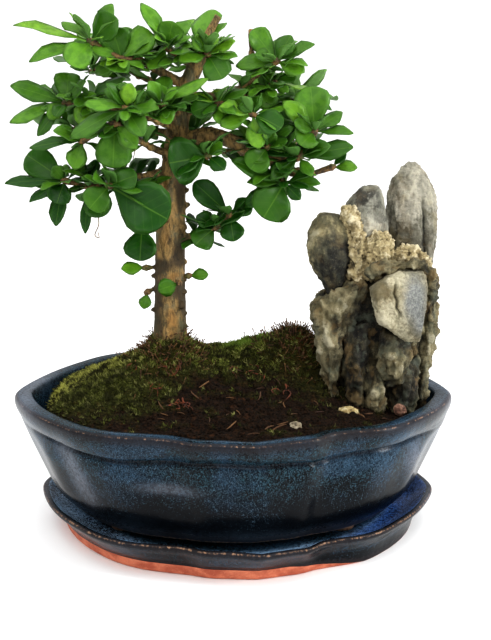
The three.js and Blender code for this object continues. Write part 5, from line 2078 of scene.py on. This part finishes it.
class BonsaiTreeSettings(bpy.types.PropertyGroup):
    """Colours and form of the leaves and the bark."""

    leaf: bpy.props.FloatVectorProperty(
        name="Leaf",
        description="Colour of a grown leaf in full light",
        default=colour(94, 142, 38),
        subtype="COLOR",
        **COLOUR_RANGE,
    )
    # The darkest leaves: partly the own tone of old leaves, partly painted shade on the low leaves
    # and at the blade bases
    leaf_dark: bpy.props.FloatVectorProperty(
        name="Old leaf",
        description="Colour of the darkest leaves",
        default=colour(22, 64, 8),
        subtype="COLOR",
        **COLOUR_RANGE,
    )
    bark: bpy.props.FloatVectorProperty(
        name="Bark",
        description="Colour of the bark's plates",
        default=colour(158, 128, 78),
        subtype="COLOR",
        **COLOUR_RANGE,
    )
    bark_dark: bpy.props.FloatVectorProperty(
        name="Bark cracks",
        description="Colour between the bark's plates",
        default=colour(72, 60, 36),
        subtype="COLOR",
        **COLOUR_RANGE,
    )
    arch: bpy.props.FloatProperty(
        name="Arch",
        description="How far a blade arches, as a part of its length",
        default=0.16,
        min=0,
        max=0.4,
    )
    fold: bpy.props.FloatProperty(
        name="Fold",
        description="How steeply a blade folds up from its midrib",
        default=0.2,
        min=0,
        max=0.6,
    )
    curl: bpy.props.FloatProperty(
        name="Curl",
        description="How much a blade's edge waves",
        default=0.3,
        min=0,
        max=0.6,
    )
    blade_thickness: bpy.props.FloatProperty(
        name="Blade thickness",
        description="Thickness of a blade",
        default=0.35 * MM,
        min=0.1 * MM,
        max=MM,
        unit="LENGTH",
        precision=5,
    )


class BonsaiStageSettings(bpy.types.PropertyGroup):
    """Light of the studio."""

    key_power: bpy.props.FloatProperty(
        name="Key light",
        description="Power of the large soft light from the upper left",
        default=6.6,
        min=0,
        max=500,
        unit="POWER",
    )
    front_power: bpy.props.FloatProperty(
        name="Front light",
        description="Power of the low soft light in front",
        default=2.8,
        min=0,
        max=500,
        unit="POWER",
    )
    side_power: bpy.props.FloatProperty(
        name="Side light",
        description="Power of the tall soft light at the right",
        default=7,
        min=0,
        max=500,
        unit="POWER",
    )
    world_strength: bpy.props.FloatProperty(
        name="Surroundings",
        description="Strength of the white light from overhead",
        default=1.3,
        min=0,
        max=5,
    )


# Operators


class BONSAI_OT_saucer(bpy.types.Operator):
    """Makes the glazed saucer with its bare clay foot."""

    bl_idname = "bonsai.saucer"
    bl_label = "Saucer"

    def execute(self, context):
        settings = context.scene.bonsai_pottery
        saucer = lobed_vessel("glazed_saucer", SAUCER_PROFILE, saucer_place, saucer_pooling_and_light)
        with_painted_glints(saucer)
        saucer.data.materials.append(shared("flecked_glaze", flecked_glaze, settings))
        saucer.data.materials.append(shared("fired_clay", fired_clay, settings))
        for face in saucer.data.polygons:
            bare = FOOT_HEIGHT - glaze_run(face.center.x / MM)
            face.material_index = int(face.center.z < bare * MM)
        finish_piece(saucer, "glaze", "saucer")
        return {"FINISHED"}


class BONSAI_OT_pot(bpy.types.Operator):
    """Makes the lobed pot with its rolled lip, groove, feet and drain holes."""

    bl_idname = "bonsai.pot"
    bl_label = "Pot"

    def execute(self, context):
        glaze = shared("flecked_glaze", flecked_glaze, context.scene.bonsai_pottery)
        finish_piece(make_pot(), "glaze", "pot", material=glaze)
        return {"FINISHED"}


class BONSAI_OT_screens(bpy.types.Operator):
    """Gives the two drain screens their finish."""

    bl_idname = "bonsai.screens"
    bl_label = "Drain screens"

    def execute(self, context):
        plastic = woven_plastic()
        for name in ("drain_screen_left", "drain_screen_right"):
            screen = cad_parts[name]
            screen.data.materials.clear()
            screen.data.materials.append(plastic)
        return {"FINISHED"}


class BONSAI_OT_soil(bpy.types.Operator):
    """Makes the mound of soil."""

    bl_idname = "bonsai.soil"
    bl_label = "Soil"

    def execute(self, context):
        material = damp_soil(context.scene.bonsai_ground)
        finish_piece(make_soil(), "soil", "soil", material=material)
        return {"FINISHED"}


class BONSAI_OT_ground_cover(bpy.types.Operator):
    """Scatters moss, stalks, crumbs and fallen needles over the soil, and lays the rootlets."""

    bl_idname = "bonsai.ground_cover"
    bl_label = "Moss and litter"

    def execute(self, context):
        settings = context.scene.bonsai_ground
        ground = bpy.data.objects.get("soil_mound")
        if ground is None:
            raise RuntimeError("the soil is made before what grows on it")
        top = cover_surface(ground)
        moss, litter = moss_finish(settings), dry_litter()
        shapes = [sprig_template(), crumb_template(), stalk_template(), needle_template()]
        scattered(
            "moss_sprigs", top, shapes[0], moss, field="moss",
            density=settings.moss_density * PER_SQUARE_MM,
            smallest=0.9, largest=2.7, lean=0.5, sink=0.12, seed=3,
        )
        scattered(
            "soil_crumbs", top, shapes[1], bpy.data.materials["damp_soil"], field="bare",
            density=settings.crumb_density * PER_SQUARE_MM,
            smallest=0.35, largest=1.2, lean=1.0, sink=0.1, seed=5,
        )
        scattered(
            "brown_stalks", top, shapes[2], litter, field="stalks", density=0.55 * PER_SQUARE_MM,
            smallest=1.6, largest=7, lean=0.6, sink=0.3, seed=7,
        )
        scattered(
            "fallen_needles", top, shapes[3], litter, field="bare", density=0.0035 * PER_SQUARE_MM,
            smallest=3.0, largest=7.0, lean=0.18, sink=-0.3, seed=11,
        )
        for shape in [*shapes, top]:
            bpy.data.objects.remove(shape)
        strands = []
        for place, (x, y, reach, number) in enumerate(ROOTLETS):
            strands += [rootlet(x, y, reach, 700 + 100 * place + 7 * k) for k in range(number)]
        roots = new_object("rootlets", *joined(strands))
        finish_piece(roots, "bark", material=rusty_root())
        return {"FINISHED"}


class BONSAI_OT_stones(bpy.types.Operator):
    """Makes the four standing stones."""

    bl_idname = "bonsai.stones"
    bl_label = "Stones"

    def execute(self, context):
        corner = tube(smooth_path(CORNER, 4), CORNER_RADII, 12)
        for node, relief, material, rounds, extra in (
            ("stone_tall", tall_relief, weathered_stone("tall_stone"), 3, ()),
            ("stone_middle", smooth_relief, weathered_stone("blue_grey_stone", lichen=0.15), 2, ()),
            ("stone_left", smooth_relief, weathered_stone("dark_stone", (1, 1, 0.8)), 5, ()),
            ("stone_front", split_relief, weathered_stone("pale_stone"), 1, [corner]),
        ):
            piece = rock(f"dressed_{node}", node, STONE_CELL, relief, rounds, extra)
            finish_piece(piece, "stone", node, material=material)
        return {"FINISHED"}


class BONSAI_OT_crag(bpy.types.Operator):
    """Makes the craggy base that the stones stand on."""

    bl_idname = "bonsai.crag"
    bl_label = "Crag"

    def execute(self, context):
        finish = weathered_stone("craggy_stone", (1, 1, 0.4), lichen=0.15, ochre=0.4)
        rim = tube(smooth_path(LEDGE, 4), LEDGE_RADII, 10)
        piece = rock("dressed_stone_crag", "stone_crag", CRAG_CELL, crag_relief, 2, [rim])
        finish_piece(piece, "stone", "stone_crag", material=finish)
        return {"FINISHED"}


class BONSAI_OT_mortar(bpy.types.Operator):
    """Makes the crumbly filling between the stones."""

    bl_idname = "bonsai.mortar"
    bl_label = "Mortar"

    def execute(self, context):
        finish = weathered_stone("crumbly_mortar", (1, 1, 1), lichen=0.1)
        piece = rock("dressed_mortar", "mortar", MORTAR_CELL, mortar_relief, 3)
        finish_piece(piece, "mortar", "mortar", material=finish)
        return {"FINISHED"}


class BONSAI_OT_pebbles(bpy.types.Operator):
    """Makes the three pebbles in the soil."""

    bl_idname = "bonsai.pebbles"
    bl_label = "Pebbles"

    def execute(self, context):
        for node in ("pebble_tan", "pebble_red", "pebble_pale"):
            finish = weathered_stone(f"{node}_stone", (1, 1, 1), lichen=0.1)
            piece = rock(f"dressed_{node}", node, PEBBLE_CELL, pebble_relief, 6)
            finish_piece(piece, "stone", node, material=finish)
        return {"FINISHED"}


class BONSAI_OT_trunk(bpy.types.Operator):
    """Makes the trunk with its limbs and cut stubs."""

    bl_idname = "bonsai.trunk"
    bl_label = "Trunk"

    def execute(self, context):
        material = cracked_bark(context.scene.bonsai_tree)
        finish_piece(make_trunk(), "bark", "trunk", material=material)
        return {"FINISHED"}


class BONSAI_OT_sprays(bpy.types.Operator):
    """Grows the thirty leafy sprays, each in place of its node."""

    bl_idname = "bonsai.sprays"
    bl_label = "Leafy sprays"

    def execute(self, context):
        settings = context.scene.bonsai_tree
        broad = blade_template("broad_blade", BROAD_ROWS, BROAD_COLUMNS)
        slim = blade_template("slim_blade", SLIM_ROWS, SLIM_COLUMNS)
        leaf, twig = leaf_finish(settings), twig_bark(settings)
        tree = spray_tree()
        for index, limb in enumerate(LIMBS):
            piece, found = spray_seed(index, limb)
            if not found:
                raise RuntimeError(f"no leaf of {piece.name} was found in its node")
            grow(
                piece, tree, broad_blade=broad, slim_blade=slim, leaf_finish=leaf, twig_finish=twig,
                arch=settings.arch, fold=settings.fold, curl=settings.curl,
                thickness=settings.blade_thickness,
            )
            finish_piece(piece, "leaf", f"spray_{limb.name}")
        bpy.data.objects.remove(broad)
        bpy.data.objects.remove(slim)
        return {"FINISHED"}


class BONSAI_OT_tendrils(bpy.types.Operator):
    """Makes the wiry tendrils that hang from the canopy."""

    bl_idname = "bonsai.tendrils"
    bl_label = "Tendrils"

    def execute(self, context):
        wires = new_object("tendrils", *joined([tendril(path) for path in TENDRILS]))
        finish_piece(wires, "bark", material=bpy.data.materials["twig_bark"])
        return {"FINISHED"}


class BONSAI_OT_stage(bpy.types.Operator):
    """Makes the pale floor, the soft lights and the camera."""

    bl_idname = "bonsai.stage"
    bl_label = "Stage"

    def execute(self, context):
        settings = context.scene.bonsai_stage
        studio_floor()
        for name, (place, size) in LIGHTS.items():
            soft_light(name, place, size, getattr(settings, f"{name}_power"))
        surroundings(settings.world_strength)
        context.scene.view_settings.view_transform = "Standard"
        context.scene.view_settings.look = "Medium High Contrast"
        camera = placed("camera", bpy.data.cameras.new("camera"))
        camera.location = CAMERA_PLACE
        camera.rotation_euler = (math.pi / 2 - CAMERA_PITCH, 0, 0)
        camera.data.lens = CAMERA_LENS
        camera.data.clip_start, camera.data.clip_end = CAMERA_CLIP
        bpy.context.scene.camera = camera
        return {"FINISHED"}


class BONSAI_PT_panel(bpy.types.Panel):
    """Lists the steps and their settings."""

    bl_idname = "BONSAI_PT_panel"
    bl_label = "Fukien tea bonsai"
    bl_space_type = "VIEW_3D"
    bl_region_type = "UI"
    bl_category = "Bonsai"

    def draw(self, context):
        for step in STEPS:
            self.layout.operator(step.bl_idname)
        for group in SETTINGS:
            box = self.layout.box()
            settings = getattr(context.scene, group)
            for name in settings.bl_rna.properties.keys():
                if name not in ("rna_type", "name"):
                    box.prop(settings, name)


# Stage


def studio_floor():
    """A wide round pale floor."""
    reach = FLOOR_RADIUS / MM
    angles = [TAU * k / FLOOR_SIDES for k in range(FLOOR_SIDES)]
    rim = [(reach * math.cos(angle), reach * math.sin(angle), 0) for angle in angles]
    floor = new_object("studio_floor", rim, [tuple(range(FLOOR_SIDES))], smooth=False)
    material, tree, shader = new_material("pale_paper", (0.95, 0.95, 0.95, 1))
    grain = clouds(tree, places(tree), 0.02, 2)
    base = tint(tree, grain, (0.93, 0.93, 0.93, 1), (0.96, 0.96, 0.96, 1))
    fill(tree, shader, {"Base Color": base, "Roughness": 1, "Specular IOR Level": 0})
    floor.data.materials.append(material)
    return floor


def soft_light(name, place, size, power):
    """A rectangular soft light that faces the object."""
    light = bpy.data.lights.new(name, "AREA")
    light.shape = "RECTANGLE"
    light.size, light.size_y = size
    light.energy = power
    lamp = placed(name, light)
    lamp.location = place
    way = Vector(LIGHTS_FACE) - Vector(place)
    lamp.rotation_euler = way.to_track_quat("-Z", "Y").to_euler()


def surroundings(strength):
    """A white backdrop all round, which lights the object less than it shows itself."""
    world = bpy.context.scene.world or bpy.data.worlds.new("surroundings")
    bpy.context.scene.world = world
    world.use_nodes = True
    tree = world.node_tree
    back = tree.nodes["Background"]
    back.inputs["Color"].default_value = (1, 1, 1, 1)
    seen = add(tree, "ShaderNodeLightPath").outputs["Is Camera Ray"]
    way = add(tree, "ShaderNodeTexCoord").outputs["Generated"]
    light = spread(tree, parts_of(tree, way)[2], 0.15, 0.7, SIDE_SHARE * strength, strength)
    tree.links.new(calc(tree, "MAXIMUM", seen, light), back.inputs["Strength"])


STEPS = (
    BONSAI_OT_saucer,
    BONSAI_OT_pot,
    BONSAI_OT_screens,
    BONSAI_OT_soil,
    BONSAI_OT_ground_cover,
    BONSAI_OT_stones,
    BONSAI_OT_crag,
    BONSAI_OT_mortar,
    BONSAI_OT_pebbles,
    BONSAI_OT_trunk,
    BONSAI_OT_sprays,
    BONSAI_OT_tendrils,
    BONSAI_OT_stage,
)
SETTINGS = {
    "bonsai_pottery": BonsaiPotterySettings,
    "bonsai_ground": BonsaiGroundSettings,
    "bonsai_tree": BonsaiTreeSettings,
    "bonsai_stage": BonsaiStageSettings,
}


def register():
    for kind in (*SETTINGS.values(), *STEPS, BONSAI_PT_panel):
        bpy.utils.register_class(kind)
    for name, group in SETTINGS.items():
        setattr(bpy.types.Scene, name, bpy.props.PointerProperty(type=group))


def unregister():
    for name in SETTINGS:
        delattr(bpy.types.Scene, name)
    for kind in (BONSAI_PT_panel, *reversed(STEPS), *SETTINGS.values()):
        bpy.utils.unregister_class(kind)


def main():
    register()
    for step in STEPS:
        group, action = step.bl_idname.split(".")
        getattr(getattr(bpy.ops, group), action)()


if __name__ == "__main__":
    main()
